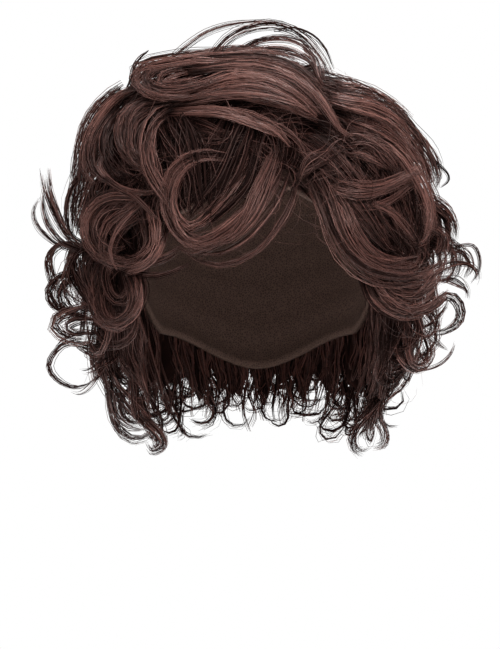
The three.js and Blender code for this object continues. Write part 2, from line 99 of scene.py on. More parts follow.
# Each stroke: lifts, width, clumps, strands in each, tint, and points from root to tip.
# Tints hold painted light and shade: lit, outer locks and thin highlight strokes are lighter, deep ones
# darker.
FRONT_LOCKS = {
    "top_roll": (
        stroke((20, 31), 7, 5, 13, 0.46, (10, 24), (-12, 26), (-36, 25), (-56, 22), (-70, 19), (-75, 11),
               (-70, 4), (-58, 0), (-42, 1)),
        stroke((20, 32), 6, 4, 13, 0.58, (-30, 22), (-50, 19), (-63, 16), (-67, 10), (-61, 5), (-48, 4),
               (-32, 7), (-14, 12)),
        stroke((20, 31), 6, 4, 12, 0.48, (-34, 18), (-48, 16), (-57, 13), (-58, 9), (-50, 8), (-36, 10)),
        stroke((20, 29), 7, 5, 12, 0.44, (-64, 17), (-44, 24), (-18, 28), (6, 28), (26, 23)),
        stroke((26, 31), 2.5, 1, 8, 0.42, (-75, 6), (-75, 14), (-71, 22), (-65, 29), back=(0, 14)),
        stroke((22, 27), 2.5, 2, 6, 0.44, (-54, 22), (-43, 31), (-30, 39.5), (-14, 44.5), (4, 45.5),
               (20, 43), back=(-6, 18)),
        stroke((12, 20), 15, 7, 8, 0.2, (-54, 15), (-66, 9), (-76, 1), (-86, -8)),
        stroke((14, 24), 14, 6, 9, 0.26, (-10, 17), (-30, 15), (-50, 12), (-67, 9), back=(8, 8)),
        stroke((15, 21), 17, 9, 0, 0.24, (-28, 18), (-46, 17), (-61, 14.5), (-71, 7), (-79, -6),
               back=(12, 12)),
    ),
    "top_swoop": (
        stroke((20, 33), 7, 5, 14, 0.69, (-56, 0), (-40, 3), (-26, 9), (-12, 13), (2, 12), (16, 7),
               (29, -1), (38, -10)),
        stroke((18, 32), 9, 6, 14, 0.63, (-58, -3), (-40, 0), (-22, 3), (-4, 3), (12, 0), (26, -6),
               (36, -12)),
        stroke((22, 33), 7, 5, 14, 0.63, (-44, 16), (-24, 19), (-4, 20), (14, 17), (27, 10), (37, 1),
               (45, -10), (52, -20)),
        # A thin stroke of painted highlight along the swoop's edge
        stroke((24, 34), 3, 2, 14, 0.79, (4, 18), (18, 15), (29, 8), (37, -1), (44, -11), (50, -19),
               (58, -23)),
        stroke((22, 31), 7, 5, 13, 0.59, (-40, 22), (-18, 24), (4, 24), (20, 20), (32, 12), (40, 3)),
    ),
    "crown_arc": (
        stroke((18, 26), 3.5, 3, 8, 0.42, (-31, 19), (-24, 29), (-16, 37), (-5, 42), (8, 44), (20, 41),
               (29, 35), (36, 27), (41, 19), (45, 10), back=(-26, 14)),
        stroke((20, 27), 3, 3, 8, 0.42, (-20, 22), (-12, 29), (-2, 34), (9, 36), (20, 35), (28, 31),
               (33, 24), (36, 14), back=(12, -12)),
        stroke((22, 28), 4, 3, 8, 0.42, (-4, 28), (8, 30), (20, 28), (30, 22), (35, 14), (38, 6),
               back=(-16, 6)),
        stroke((22, 28), 4, 3, 8, 0.44, (26, 30), (33, 24), (36, 16), (40, 7), back=(14, 0)),
        stroke((20, 27), 2, 1, 3, 0.42, (8, 41), (21, 43), (33, 38), (41, 29), (46, 17), back=(-10, 20)),
    ),
    "second_swoop": (
        stroke((18, 30), 6, 5, 12, 0.61, (-56, -9), (-40, -8), (-25, -8), (-11, -11), (2, -16), (12, -21),
               (19, -28)),
        stroke((16, 27), 4, 3, 9, 0.49, (-20, -10), (-6, -11), (8, -15), (18, -21), (25, -28), (29, -37)),
    ),
    "fringe_curl": (
        stroke((18, 31), 8, 5, 13, 0.6, (-50, -7), (-60, -12), (-65, -20), (-67, -32), (-65, -43),
               (-60, -52), (-54, -60)),
    ),
    "left_high_curl": (
        stroke((20, 31), 3.5, 2, 14, 0.62, (-60, 0), (-71, -2), (-80, -7), (-84, -16), (-83, -27),
               (-78, -36), (-69, -43), (-60, -50)),
        stroke((18, 29), 13, 7, 12, 0.44, (-58, -3), (-68, -6), (-76, -13), (-78, -24), (-74, -34),
               (-66, -42)),
        stroke((12, 16), 26, 8, 0, 0.2, (-62, 2), (-74, -8), (-78, -24), (-72, -42)),
    ),
    "left_rim_curl": (
        stroke((18, 31), 6, 4, 13, 0.56, (-72, 6), (-82, 2), (-92, -6), (-100, -18), (-104, -31),
               (-104, -43), (-98, -51), back=(0, 10)),
        stroke((18, 30), 4, 3, 12, 0.4, (-82, -2), (-92, -12), (-99, -24), (-101, -36), (-97, -46),
               (-88, -51), (-77, -55)),
        stroke((18, 31), 2, 2, 8, 0.62, (-92, -32), (-95, -41), (-89, -49), (-79, -55), (-68, -57),
               (-58, -55)),
        stroke((20, 31), 4, 3, 9, 0.42, (-80, 8), (-92, 0), (-102, -12), (-107, -26), (-109, -40),
               (-110, -55), back=(8, 16)),
        stroke((16, 24), 10, 5, 10, 0.3, (-84, -12), (-90, -24), (-90, -36), (-84, -46), (-74, -50)),
        stroke((16, 26), 11, 6, 10, 0.32, (-72, 3), (-86, -6), (-96, -18), (-100, -32), (-99, -47),
               back=(6, 12)),
        stroke((12, 16), 24, 9, 0, 0.2, (-60, -2), (-77, -9), (-87, -21), (-90, -35), (-86, -52),
               back=(6, 12)),
        stroke((16, 24), 12, 7, 10, 0.38, (-86, -6), (-97, -22), (-103, -39), (-107, -55), (-109, -69),
               (-106, -82), back=(8, 14)),
    ),
    "left_ring_curl": (
        stroke((14, 31), 6, 4, 12, 0.56, (-58, -58), (-72, -57), (-87, -57), (-99, -63), (-105, -75),
               (-103, -88), (-94, -98), (-80, -103)),
        stroke((14, 30), 6, 4, 11, 0.5, (-60, -66), (-74, -64), (-88, -63), (-97, -70), (-100, -80),
               (-96, -90), (-86, -97), (-73, -99)),
        stroke((14, 28), 8, 5, 10, 0.44, (-68, -72), (-80, -69), (-91, -71), (-97, -79), (-94, -88),
               (-86, -92), (-78, -89)),
        stroke((16, 29), 16, 5, 9, 0.48, (-64, -60), (-76, -68), (-87, -78), (-92, -92), (-86, -104)),
        stroke((14, 26), 9, 5, 9, 0.36, (-74, -76), (-84, -74), (-91, -78), (-91, -85), (-84, -87)),
        stroke((20, 30), 6, 3, 11, 0.44, (-104, -44), (-110, -54), (-113, -66), (-112, -78), (-107, -88),
               back=(10, 14)),
        stroke((10, 14), 34, 9, 0, 0.18, (-66, -56), (-86, -66), (-90, -84), (-78, -98)),
    ),
    "left_puff": (
        stroke((14, 29), 9, 5, 12, 0.52, (-60, -56), (-64, -66), (-62, -78), (-63, -88), (-70, -96),
               (-81, -99)),
        stroke((6, 20), 22, 8, 8, 0.26, (-70, -36), (-62, -50), (-56, -64), (-58, -80)),
        stroke((14, 28), 6, 4, 12, 0.52, (-54, -70), (-56, -83), (-62, -93), (-72, -100), (-83, -102)),
        stroke((20, 31), 3, 2, 12, 0.54, (-94, -47), (-84, -53), (-74, -59), (-66, -67), (-58, -77)),
        stroke((14, 29), 9, 5, 12, 0.46, (-78, -94), (-74, -106), (-73, -119), (-78, -130), (-88, -136),
               (-97, -131)),
        stroke((16, 29), 8, 5, 12, 0.42, (-92, -96), (-96, -108), (-97, -120), (-92, -131), (-83, -136),
               (-75, -131)),
        stroke((16, 27), 7, 4, 10, 0.34, (-84, -98), (-89, -106), (-88, -116), (-82, -120), (-78, -112)),
        stroke((18, 28), 8, 4, 11, 0.4, (-106, -88), (-105, -104), (-101, -118), (-95, -130), (-85, -136),
               back=(4, 4)),
        stroke((10, 14), 30, 8, 0, 0.18, (-84, -90), (-88, -110), (-86, -132)),
    ),
    "left_flick": (
        stroke((22, 33), 6, 4, 10, 0.42, (-100, -90), (-113, -83), (-121, -71), (-126, -57), (-129, -42),
               back=(2, 12)),
        stroke((22, 33), 3, 2, 8, 0.38, (-100, -92), (-116, -87), (-125, -78), (-129, -65), (-128, -50),
               back=(4, 12)),
        stroke((22, 33), 2, 2, 6, 0.38, (-102, -93), (-120, -88), (-131, -79), (-135, -69), (-132, -61),
               (-127, -58), back=(4, 14)),
    ),
    "left_outer_curl": (
        stroke((22, 32), 5, 4, 8, 0.34, (-104, -90), (-117, -87), (-125, -94), (-125, -104), (-122, -114),
               (-116, -121), back=(4, 14)),
        stroke((20, 28), 11, 6, 9, 0.3, (-99, -88), (-107, -96), (-112, -106), (-108, -117), (-100, -126),
               back=(6, 10)),
        stroke((22, 29), 7, 4, 9, 0.32, (-103, -106), (-114, -110), (-119, -119), (-113, -128),
               (-102, -132), back=(6, 12)),
        stroke((22, 30), 7, 4, 9, 0.3, (-110, -86), (-113, -97), (-109, -107), (-103, -116), (-95, -124),
               back=(8, 8)),
        stroke((24, 31), 5, 4, 9, 0.26, (-108, -104), (-119, -107), (-125, -115), (-122, -124),
               (-112, -130), (-100, -132), back=(8, 14)),
    ),
    "left_low_curl": (
        stroke((18, 30), 6, 4, 10, 0.42, (-90, -122), (-106, -126), (-118, -130), (-123, -136),
               (-118, -142), (-108, -145), (-96, -142), back=(2, 14)),
        stroke((18, 29), 4, 3, 8, 0.44, (-90, -134), (-105, -133), (-114, -137), (-108, -141), (-97, -139),
               back=(4, 14)),
        stroke((16, 28), 3, 2, 7, 0.38, (-92, -142), (-108, -142), (-117, -145), (-122, -150),
               back=(4, 16)),
    ),
    "left_open_ring": (
        stroke((16, 26), 3, 3, 7, 0.38, (-84, -144), (-98, -149), (-112, -147), (-120, -151), (-125, -160),
               (-121, -168), (-112, -173), (-103, -172), (-95, -166), back=(6, 20)),
        stroke((16, 24), 3, 2, 4, 0.4, (-86, -152), (-92, -161), (-99, -171), (-107, -177), (-116, -175),
               back=(10, 20)),
        stroke((16, 22), 4, 2, 4, 0.4, (-82, -152), (-92, -158), (-100, -163), (-108, -163), back=(10, 16)),
        stroke((16, 24), 4, 3, 5, 0.38, (-84, -146), (-94, -154), (-103, -152), (-110, -148),
               back=(10, 16)),
    ),
    "left_ear_lock": (
        stroke((14, 14), 17, 8, 10, 0.26, (-78, -100), (-80, -120), (-80, -140), (-78, -156), (-71, -171),
               back=(6, 28)),
    ),
    "left_nape_lock": (
        stroke((16, 14), 8, 5, 10, 0.34, (-92, -140), (-93, -156), (-89, -170), (-81, -182), (-71, -193),
               (-61, -204), back=(20, 88)),
        stroke((12, 12), 9, 5, 4, 0.3, (-84, -150), (-82, -162), (-76, -171), (-68, -178), back=(24, 70)),
        stroke((12, 12), 4, 3, 6, 0.34, (-88, -164), (-81, -175), (-73, -180), (-65, -180), back=(40, 76)),
    ),
    "left_nape_ring": (
        stroke((12, 12), 5, 4, 9, 0.32, (-93, -158), (-89, -173), (-88, -186), (-86, -195), (-79, -203),
               (-70, -204), (-63, -199), back=(16, 76)),
        stroke((12, 12), 5, 3, 9, 0.36, (-87, -172), (-85, -188), (-78, -196), (-68, -198), back=(30, 76)),
        stroke((10, 12), 5, 4, 9, 0.38, (-70, -192), (-61, -201), (-58, -208), (-64, -212), (-68, -207),
               back=(72, 84)),
    ),
    "right_swoop": (
        stroke((20, 32), 9, 6, 14, 0.64, (38, 2), (52, -2), (64, -5), (75, -10), (85, -18), (93, -28),
               back=(0, 6)),
        stroke((20, 30), 7, 5, 9, 0.52, (40, 8), (56, 6), (70, 2), (82, -5), (91, -14), back=(4, 14)),
        stroke((18, 30), 5, 3, 12, 0.56, (48, -12), (61, -16), (74, -21), (85, -28), (94, -38)),
    ),
    "right_loop": (
        stroke((16, 36), 6, 4, 14, 0.72, (48, -25), (61, -22), (74, -25), (84, -32), (92, -42), (99, -54),
               (103, -67), (102, -79), (96, -90)),
        stroke((16, 30), 10, 6, 12, 0.5, (46, -27), (59, -25), (71, -29), (79, -36), (83, -45)),
        stroke((14, 26), 8, 4, 11, 0.4, (50, -31), (61, -33), (71, -38), (77, -45)),
        stroke((16, 28), 5, 4, 12, 0.56, (38, -42), (49, -50), (62, -54), (75, -53), (88, -47), (98, -41)),
    ),
    "face_lock": (
        stroke((12, 31), 11, 7, 14, 0.54, (28, -43), (36, -56), (42, -69), (47, -81), (54, -92), (64, -101),
               (77, -106), (92, -106), (107, -100)),
        stroke((12, 30), 8, 5, 13, 0.52, (34, -45), (44, -57), (51, -69), (56, -81), (63, -91), (73, -98),
               (85, -100), (97, -97)),
        stroke((16, 28), 5, 4, 12, 0.52, (34, -50), (49, -57), (63, -58), (76, -55), (88, -49), (99, -44)),
        stroke((16, 29), 3.5, 3, 12, 0.52, (52, -59), (66, -63), (78, -68), (88, -77), (95, -85)),
        stroke((16, 27), 4, 3, 12, 0.5, (46, -60), (60, -65), (71, -65), (82, -60), (91, -53), (100, -48)),
        stroke((14, 22), 10, 5, 10, 0.26, (84, -48), (92, -58), (96, -71), (95, -85)),
        stroke((9, 14), 48, 14, 9, 0.42, (30, -24), (50, -44), (68, -68), (82, -92)),
        stroke((13, 20), 17, 6, 7, 0.36, (22, -25), (34, -33), (46, -43), (57, -52)),
        stroke((13, 20), 13, 4, 6, 0.34, (54, -27), (43, -35), (32, -43), (25, -52)),
        stroke((11, 18), 22, 6, 6, 0.32, (64, -68), (75, -80), (86, -90), (94, -99)),
    ),
    "right_puff": (
        stroke((14, 29), 8, 5, 13, 0.44, (66, -98), (70, -110), (78, -121), (90, -127), (102, -124),
               (112, -116)),
        stroke((16, 29), 9, 5, 13, 0.48, (70, -103), (79, -113), (91, -118), (103, -114), (111, -106)),
        stroke((14, 27), 5, 3, 12, 0.4, (64, -104), (67, -116), (75, -126), (87, -131), (98, -129)),
        stroke((16, 29), 6, 4, 12, 0.52, (80, -106), (95, -109), (107, -104), (114, -96)),
        stroke((8, 14), 32, 8, 0, 0.16, (70, -94), (84, -112), (98, -116)),
    ),
    "right_rim_curl": (
        stroke((20, 31), 6, 5, 9, 0.4, (80, -5), (90, -15), (98, -25), (105, -36), (109, -46), (106, -55),
               back=(8, 20)),
        stroke((20, 30), 8, 5, 10, 0.38, (80, -13), (91, -24), (99, -37), (103, -50), (101, -60),
               back=(6, 14)),
        stroke((24, 31), 2, 1, 5, 0.4, (102, -36), (111, -43), (114, -49), (108, -55)),
        stroke((12, 16), 20, 9, 0, 0.2, (54, -6), (74, -17), (88, -33), (93, -52), back=(10, 14)),
        stroke((16, 23), 9, 5, 10, 0.36, (62, 6), (80, -5), (93, -19), (101, -35), (104, -51),
               back=(12, 22)),
    ),
    "right_outer_curl": (
        stroke((20, 31), 6, 4, 10, 0.4, (94, -58), (106, -62), (114, -68), (118, -77), (118, -87),
               back=(6, 14)),
        stroke((20, 30), 6, 4, 11, 0.44, (96, -74), (106, -77), (112, -84), (110, -93), (102, -96),
               back=(2, 8)),
        stroke((20, 31), 6, 4, 10, 0.4, (102, -84), (113, -88), (119, -96), (117, -106), (109, -111),
               back=(4, 10)),
        stroke((12, 16), 20, 6, 0, 0.18, (90, -56), (104, -76), (106, -100), back=(8, 8)),
        stroke((14, 20), 13, 6, 9, 0.3, (96, -74), (102, -86), (105, -99), (103, -112), back=(14, 20)),
    ),
    "right_flick": (
        stroke((20, 34), 4, 3, 8, 0.4, (102, -88), (115, -89), (124, -93), (128, -100), (125, -108),
               back=(4, 14)),
        stroke((20, 34), 3, 2, 7, 0.4, (104, -103), (118, -100), (127, -101), (131, -106), (129, -113),
               back=(4, 14)),
        stroke((20, 32), 3, 2, 7, 0.38, (106, -108), (118, -110), (125, -115), (126, -122), back=(4, 14)),
        stroke((26, 34), 1.5, 1, 5, 0.4, (116, -90), (128, -88), (133, -95), (133, -104), (128, -112),
               back=(8, 16)),
    ),
    "right_low_ring": (
        stroke((18, 31), 3, 3, 9, 0.24, (94, -129), (106, -124), (114, -119), (120, -124), (121, -132),
               (116, -138), (107, -141), (98, -138), back=(6, 16)),
        stroke((18, 29), 2, 2, 7, 0.24, (96, -139), (105, -134), (111, -128), (115, -121), back=(6, 14)),
        stroke((18, 29), 3, 2, 8, 0.36, (90, -130), (101, -128), (109, -124), (114, -117), back=(4, 12)),
    ),
    "right_open_ring": (
        stroke((14, 24), 4, 3, 9, 0.42, (86, -128), (90, -140), (90, -151), (94, -160), (101, -160),
               (105, -152), (102, -144), (95, -141), back=(8, 20)),
        stroke((14, 22), 3, 2, 8, 0.4, (83, -144), (86, -156), (93, -164), (102, -162), back=(10, 20)),
    ),
    "right_tail": (
        stroke((16, 28), 2, 2, 5, 0.38, (88, -161), (99, -163), (109, -160), (116, -153), (119, -143),
               back=(10, 26)),
        stroke((18, 26), 2, 2, 4, 0.4, (96, -138), (104, -144), (109, -148), (114, -151), back=(8, 22)),
    ),
    "right_ear_lock": (
        stroke((14, 14), 18, 8, 10, 0.16, (74, -98), (76, -120), (76, -140), (75, -156), (69, -171),
               back=(6, 28)),
    ),
    "right_nape_lock": (
        stroke((16, 14), 15, 8, 10, 0.4, (93, -138), (91, -152), (84, -164), (75, -176), (68, -188),
               back=(20, 88)),
        stroke((12, 12), 10, 5, 9, 0.32, (82, -146), (80, -161), (75, -175), (69, -188), back=(24, 86)),
    ),
    "right_nape_tail": (
        stroke((12, 12), 6, 4, 9, 0.36, (72, -178), (65, -190), (59, -199), (57, -207), (61, -213),
               (68, -211), back=(64, 84)),
        stroke((12, 12), 5, 4, 9, 0.38, (71, -178), (73, -192), (76, -201), (75, -208), (69, -210),
               back=(64, 84)),
        stroke((12, 12), 6, 3, 9, 0.36, (70, -180), (68, -194), (67, -206), back=(64, 84)),
    ),
    "fringe_loop": (
        stroke((14, 30), 7, 5, 13, 0.54, (14, -30), (7, -46), (-3, -62), (-15, -77), (-29, -87), (-42, -86),
               (-51, -76), (-55, -62), (-53, -49), (-45, -38), (-32, -33), (-18, -35)),
        stroke((14, 29), 6, 4, 12, 0.56, (4, -28), (-5, -42), (-16, -56), (-28, -70), (-40, -78),
               (-49, -70), (-51, -58), (-47, -46), (-38, -38), (-27, -36)),
        stroke((14, 29), 8, 6, 11, 0.52, (12, -32), (6, -48), (-2, -64), (-13, -77), (-25, -86), (-38, -90),
               (-49, -86)),
        stroke((16, 31), 6, 4, 12, 0.52, (10, -29), (4, -44), (-1, -58), (-7, -72), (-17, -84), (-28, -88)),
        stroke((16, 29), 4, 3, 11, 0.52, (2, -26), (-8, -40), (-17, -53), (-28, -65), (-40, -72)),
        stroke((12, 19), 52, 14, 8, 0.14, (-2, -8), (-12, -36), (-24, -56), (-40, -76)),
        stroke((14, 22), 24, 7, 5, 0.29, (-4, -32), (-20, -43), (-34, -57), (-45, -71)),
        stroke((6, 22), 28, 9, 8, 0.24, (-62, -4), (-53, -16), (-46, -30), (-43, -46)),
        stroke((16, 25), 32, 9, 7, 0.15, (-48, -12), (-43, -30), (-37, -50), (-34, -72)),
        stroke((6, 20), 26, 8, 8, 0.24, (-2, -4), (8, -16), (14, -28), (16, -42)),
        stroke((14, 22), 13, 6, 6, 0.36, (-54, -15), (-39, -21), (-22, -24), (-5, -21)),
    ),
    "fringe_wisp": (
        stroke((12, 22), 2.4, 3, 9, 0.36, (24, -46), (21, -62), (13, -77), (1, -91), (-14, -99),
               (-26, -100), (-38, -96), (-46, -90)),
        stroke((12, 23), 2.5, 2, 10, 0.42, (19, -44), (13, -61), (5, -72), (-5, -83), (-15, -90),
               (-25, -94), (-36, -93), (-45, -88)),
        stroke((14, 24), 4, 3, 10, 0.5, (14, -42), (6, -59), (-4, -73), (-15, -84)),
        stroke((12, 20), 2, 2, 4, 0.4, (24, -50), (19, -67), (10, -80), (-2, -90)),
    ),
    "temple_wisp": (
        stroke((22, 22), 3, 2, 9, 0.38, (-95, -91), (-88, -99), (-76, -105), (-62, -107), (-50, -104),
               (-39, -98)),
        stroke((20, 24), 4, 3, 10, 0.46, (-86, -95), (-74, -99), (-63, -98), (-52, -93), (-44, -87)),
    ),
}

# Tiers of like curls, sides, back and top: panel, name, places across, level, radius, lifts at root and tip.
CURL_TIERS = (
    ("top", "crown_curl", (-46, 0, 46), 14, 17, (14, 22)),
    ("back", "back_high_curl", (-70, -24, 24, 70), -18, 18, (20, 31)),
    ("back", "back_mid_curl", (-84, -30, 30, 84), -76, 19, (20, 31)),
    ("back", "back_low_curl", (-62, 0, 62), -134, 18, (20, 31)),
    ("right", "right_side_curl", (10, 56), -52, 18, (20, 31)),
    ("right", "right_ear_curl", (24, 66), -112, 16, (20, 31)),
    ("left", "left_side_curl", (-56, -10), -52, 18, (20, 31)),
    ("left", "left_ear_curl", (-66, -24), -112, 16, (20, 31)),
)
TIER_RISE = 34  # root above the curl's centre
TIER_SWAY = 8  # root to one side of it
TIER_SWEEP = 255
TIER_WIDTH = 25
TIER_DEPTH = 17
TIER_CLUMPS = 8
TIER_STRANDS = 8
TIER_COVER = 0.46  # share of the width, each way, over which the clumps lie
TIER_UNEVENNESS = 0.7  # spread of a clump's place, in clumps
TIER_WANDER = (0.8, 4)  # a clump's least wander, and the most that the curl's size adds
TIER_LOOSENESS = 0.25  # what it adds, as a share of the radius
TIER_ROOT_WANDER = 2
TIER_RADIUS_SPREAD = 0.12
TIER_LEAST_RADIUS = 4
TIER_TURNS = (0.35, 1.05)  # shares of TIER_SWEEP
TIER_ROOT_LIFTS = (-0.25, 0.25)  # shares of TIER_DEPTH
TIER_TIP_LIFTS = (-0.5, 0.4)
TIER_CLUMP_SIZES = (0.75, 1.25)
TIER_TINT = 0.5

# The zones of under-hair: thickness, and the angles around that each covers.
ZONES = {
    "crown_hair": (20, 0, 360),
    "right_side_hair": (21, 44, 130),
    "back_hair": (21, 130.4, 229.6),
    "left_side_hair": (21, 230, 316),
}
CROWN_DROP = 48
HAIR_EDGE = 5
EDGE_FADE = 26

# Loose hair fills in between the locks. Its curls are picked at random between lowest and highest values.


def fill(panel, clumps, strands, eye, root, radius, turn, lifts, back=(0, 0), sense=0, tint=0.36):
    """Loose clumps of a zone: spans of the curl's centre, and of the root from there, across and up.

    lifts gives the spans at the root and at the tip. A sense of 0 lets the curls turn either way, and clumps
    of no strands are broad and plain, for filling in deep down.
    """
    spans = (*eye, *root, radius, turn, *lifts, back)
    names = ("eye_x", "eye_z", "root_x", "root_z", "radius", "turn", "lift_root", "lift_tip", "back")
    return {
        "panel": panel,
        "clumps": clumps,
        "strands": strands,
        "sense": sense,
        "tint": tint,
        "spans": dict(zip(names, spans)),
    }


def side_fills(side):
    """The loose hair of one side: side is 1 for the right of the picture and -1 for the left."""
    panel = "right" if side > 0 else "left"

    def across(low, high):
        return (low, high) if side > 0 else (-high, -low)

    return (
        # Deep down, plain hair, darkened as painted shade
        fill(panel, 46, 0, (across(-36, 72), (-126, -15)), ((-16, 16), (18, 42)), (10, 20), (80, 200),
             ((6, 11), (9, 14)), tint=0.22),
        fill("front", 14, 0, (across(76, 92), (-100, -40)), (across(-20, 0), (14, 36)), (10, 18), (80, 200),
             ((6, 9), (8, 13)), (10, 20), tint=0.2),
        # Curls towards the viewer of the front, down to the neck
        fill("front", 14, 8, (across(76, 102), (-140, -34)), (across(-24, 0), (14, 36)), (8, 15), (120, 260),
             ((12, 18), (15, 25)), (0, 26), tint=0.3),
        fill("front", 10, 9, (across(78, 98), (-164, -138)), (across(-4, 10), (20, 36)), (7, 11), (100, 240),
             ((8, 16), (8, 16)), (20, 50), tint=0.3),
        # Curls of the side
        fill(panel, 48, 8, (across(-50, 85), (-158, -10)), ((-16, 16), (18, 42)), (9, 19), (100, 250),
             ((10, 18), (16, 29)), tint=0.38),
        fill(panel, 34, 8, (across(-20, 95), (-190, -154)), ((-10, 10), (18, 38)), (7, 12), (100, 230),
             ((2, 6), (3, 8)), tint=0.36),
        # Curls of the nape's corner
        fill(panel, 15, 9, (across(24, 88), (-204, -178)), ((-8, 8), (18, 36)), (6, 11), (100, 230),
             ((2, 6), (3, 8)), tint=0.34),
        # Curls of the temple, between the side and the fringe
        fill(panel, 18, 9, (across(-94, -56), (-92, -24)), ((-12, 12), (14, 34)), (8, 15), (100, 220),
             ((8, 14), (12, 21)), tint=0.28),
        # Single stray hairs
        fill("front", 40, 1, (across(76, 104), (-140, -30)), (across(-24, 5), (10, 40)), (7, 16), (100, 240),
             ((18, 24), (24, 31)), (0, 20)),
        fill(panel, 36, 1, (across(-45, 90), (-160, -10)), ((-25, 25), (10, 45)), (8, 20), (80, 240),
             ((18, 24), (24, 32))),
    )


FILLS = {
    "crown_hair": (
        # Deep down, plain hair, darkened as painted shade
        fill("top", 56, 0, ((-66, 66), (-40, 64)), ((-20, 20), (-40, 20)), (14, 26), (40, 140),
             ((12, 18), (15, 20)), tint=0.22),
        # Sweeps over the top, from the left to the right
        fill("front", 18, 10, ((-5, 46), (-66, -34)), ((-80, -54), (38, 58)), (44, 54), (40, 84),
             ((8, 16), (15, 25)), (0, 12), -1, tint=0.32),
        fill("front", 8, 10, ((26, 44), (-72, -52)), ((-38, -10), (40, 54)), (34, 44), (60, 96),
             ((6, 14), (14, 24)), (0, 20), -1, tint=0.3),
        # Bowed curls at the top left
        fill("front", 8, 10, ((-76, -40), (-50, -24)), ((8, 34), (12, 28)), (14, 24), (110, 175),
             ((10, 16), (14, 23)), (0, 8), 1, tint=0.3),
        # Hair that falls behind the fringe, darkened as painted shade
        fill("front", 26, 8, ((-52, 24), (-58, -30)), ((-20, 20), (18, 34)), (14, 26), (30, 100),
             ((5, 9), (6, 11)), tint=0.16),
        # The crown: forwards over its crest, then from the middle to the back
        fill("top", 44, 9, ((-66, 66), (-44, 20)), ((-24, 24), (14, 44)), (16, 36), (30, 110),
             ((16, 22), (20, 26)), tint=0.36),
        fill("top", 56, 9, ((-70, 70), (0, 80)), ((-18, 18), (-50, -25)), (14, 30), (80, 160),
             ((10, 18), (18, 28)), tint=0.36),
        # Single stray hairs
        fill("front", 60, 1, ((-50, 50), (-70, -34)), ((-50, 50), (20, 56)), (18, 38), (40, 110),
             ((16, 24), (22, 29)), (0, 10)),
        fill("front", 90, 1, ((-76, 76), (-84, -20)), ((-26, 26), (10, 32)), (9, 22), (60, 220),
             ((24, 27), (28, 33)), tint=0.17),
        fill("top", 36, 1, ((-66, 60), (-40, 90)), ((-30, 30), (-50, 30)), (14, 36), (60, 160),
             ((16, 24), (22, 28))),
    ),
    "right_side_hair": side_fills(1),
    "back_hair": (
        # Deep down, hair darkened by painted shade
        fill("back", 34, 8, ((-92, 92), (-160, 0)), ((-16, 16), (20, 45)), (10, 20), (80, 200),
             ((10, 15), (16, 21)), tint=0.24),
        # Curls of the back, then of the nape
        fill("back", 120, 8, ((-95, 95), (-168, 0)), ((-16, 16), (20, 45)), (10, 20), (90, 250),
             ((10, 18), (16, 29)), tint=0.38),
        fill("back", 54, 8, ((-86, 86), (-194, -156)), ((-10, 10), (20, 40)), (7, 13), (100, 230),
             ((6, 12), (9, 18)), tint=0.36),
        # Single stray hairs
        fill("back", 70, 1, ((-95, 95), (-180, -6)), ((-25, 25), (10, 45)), (8, 22), (80, 240),
             ((18, 24), (24, 32))),
    ),
    "left_side_hair": side_fills(-1),
}
EVEN_STEPS = {"eye_x": 0.7549, "eye_z": 0.5698}  # steps that set curls far from one another
BROAD_CLUMP = (2.6, 4.4)  # half widths of a plain clump deep down
LOOSE_CLUMP = (1.5, 3.0)  # half widths of a loose clump
CLUMP_TINT = 0.08  # how much the tint differs from clump to clump
PAINTED_LIGHT_LIFTS = (16, 31)  # over these lifts of the tip, loose hair grows lighter by the next value, as painted light and shade
OUTER_PAINTED_LIGHT = 0.2
DARKEST_CLUMP = 0.04
OPENING_TOP = -72  # lower than this, the front's loose hair is rooted at least the next value from the middle
OPENING_HALF_BREADTH = 76
ROOT_DEPTH = 7  # how far inside the outline a root starts

# Hollows between the front's locks, where hair lies deep and painted shade darkens it: place across and up,
# half sizes, depth.
HOLLOWS = (
    (-26, -22, 22, 5, 10),
    (-28, -52, 17, 14, 14),
    (-53, -30, 5, 9, 8),
    (-90, -20, 6, 8, 8),
    (-85, -42, 8, 4, 7),
    (-25, -4.5, 26, 2, 6),
    (-74, 3, 5, 4, 7),
    (-90, -79, 7, 7, 8),
    (36, -22, 12, 11, 14),
    (16, -38, 8, 7, 9),
    (72, -44, 8, 5, 9),
    (80, -83, 13, 13, 11),
    (91, -63, 5, 10, 9),
)
HOLLOW_PAINTED_SHADE = 0.03  # painted shade: tint lost for each millimetre of a hollow's depth

# Hair. A lock or a fill is made of clumps that come to a point, and a clump of strands round a core.
STRAND_RADIUS = 0.2
STRAND_SIZES = (0.7, 1.2)  # lowest and highest share of that radius
SINGLE_SIZE = 0.6  # a single stray hair's radius as a share of a strand's
STRAND_SIDES = 3
STRAND_TINT = 0.19  # how much the tint differs from strand to strand
DARKEST_STRAND = 0.03
STRAND_TWIST = 1.6  # most radians that a strand turns round its clump
STRAND_SPREAD = (0.3, 1.9)  # squares of the distances from the clump's middle, in half widths
TIP_SPREAD = 0.22  # the strands' least reach as a share of the clump's half width
CLUMP_DEPTH = 0.8  # a clump's depth as a share of its breadth
CORE_SIDES = 5
CORE_SHARE = 0.44  # a core's half width as a share of its clump's
CORE_PAINTED_SHADE = (0.3, 0.6)  # a core's tint as a share of its clump's, darker as painted shade between the strands
CORE_RIDGES = (0.65, 1.1)  # how far a core's corners stand out, as shares of its half width
CORE_DEPTH = 0.75
CLUMP_SPREAD = 1.5  # clumps of a lock overlap their neighbours by this
STRAY_SHARE = 0.26
STRAY_REACH = 2.2
ROUNDNESS = 0.2  # height of a lock's middle over its edges, as a share of its width
STROKE_DEPTH = 0.3  # how far a stroke follows the outer form in depth, as a share of its length
CURVE_STEPS = 12
FEWEST_STATIONS = 9
MOST_STATIONS = 18
STATION_TURN = 90  # a path that turns no more degrees than this has the fewest stations
TURN_FOR_STATION = 30  # degrees for each station more
THIN_CLUMP = 8  # clumps of no more strands than this show each strand, so these get more stations
THIN_STATIONS = 4

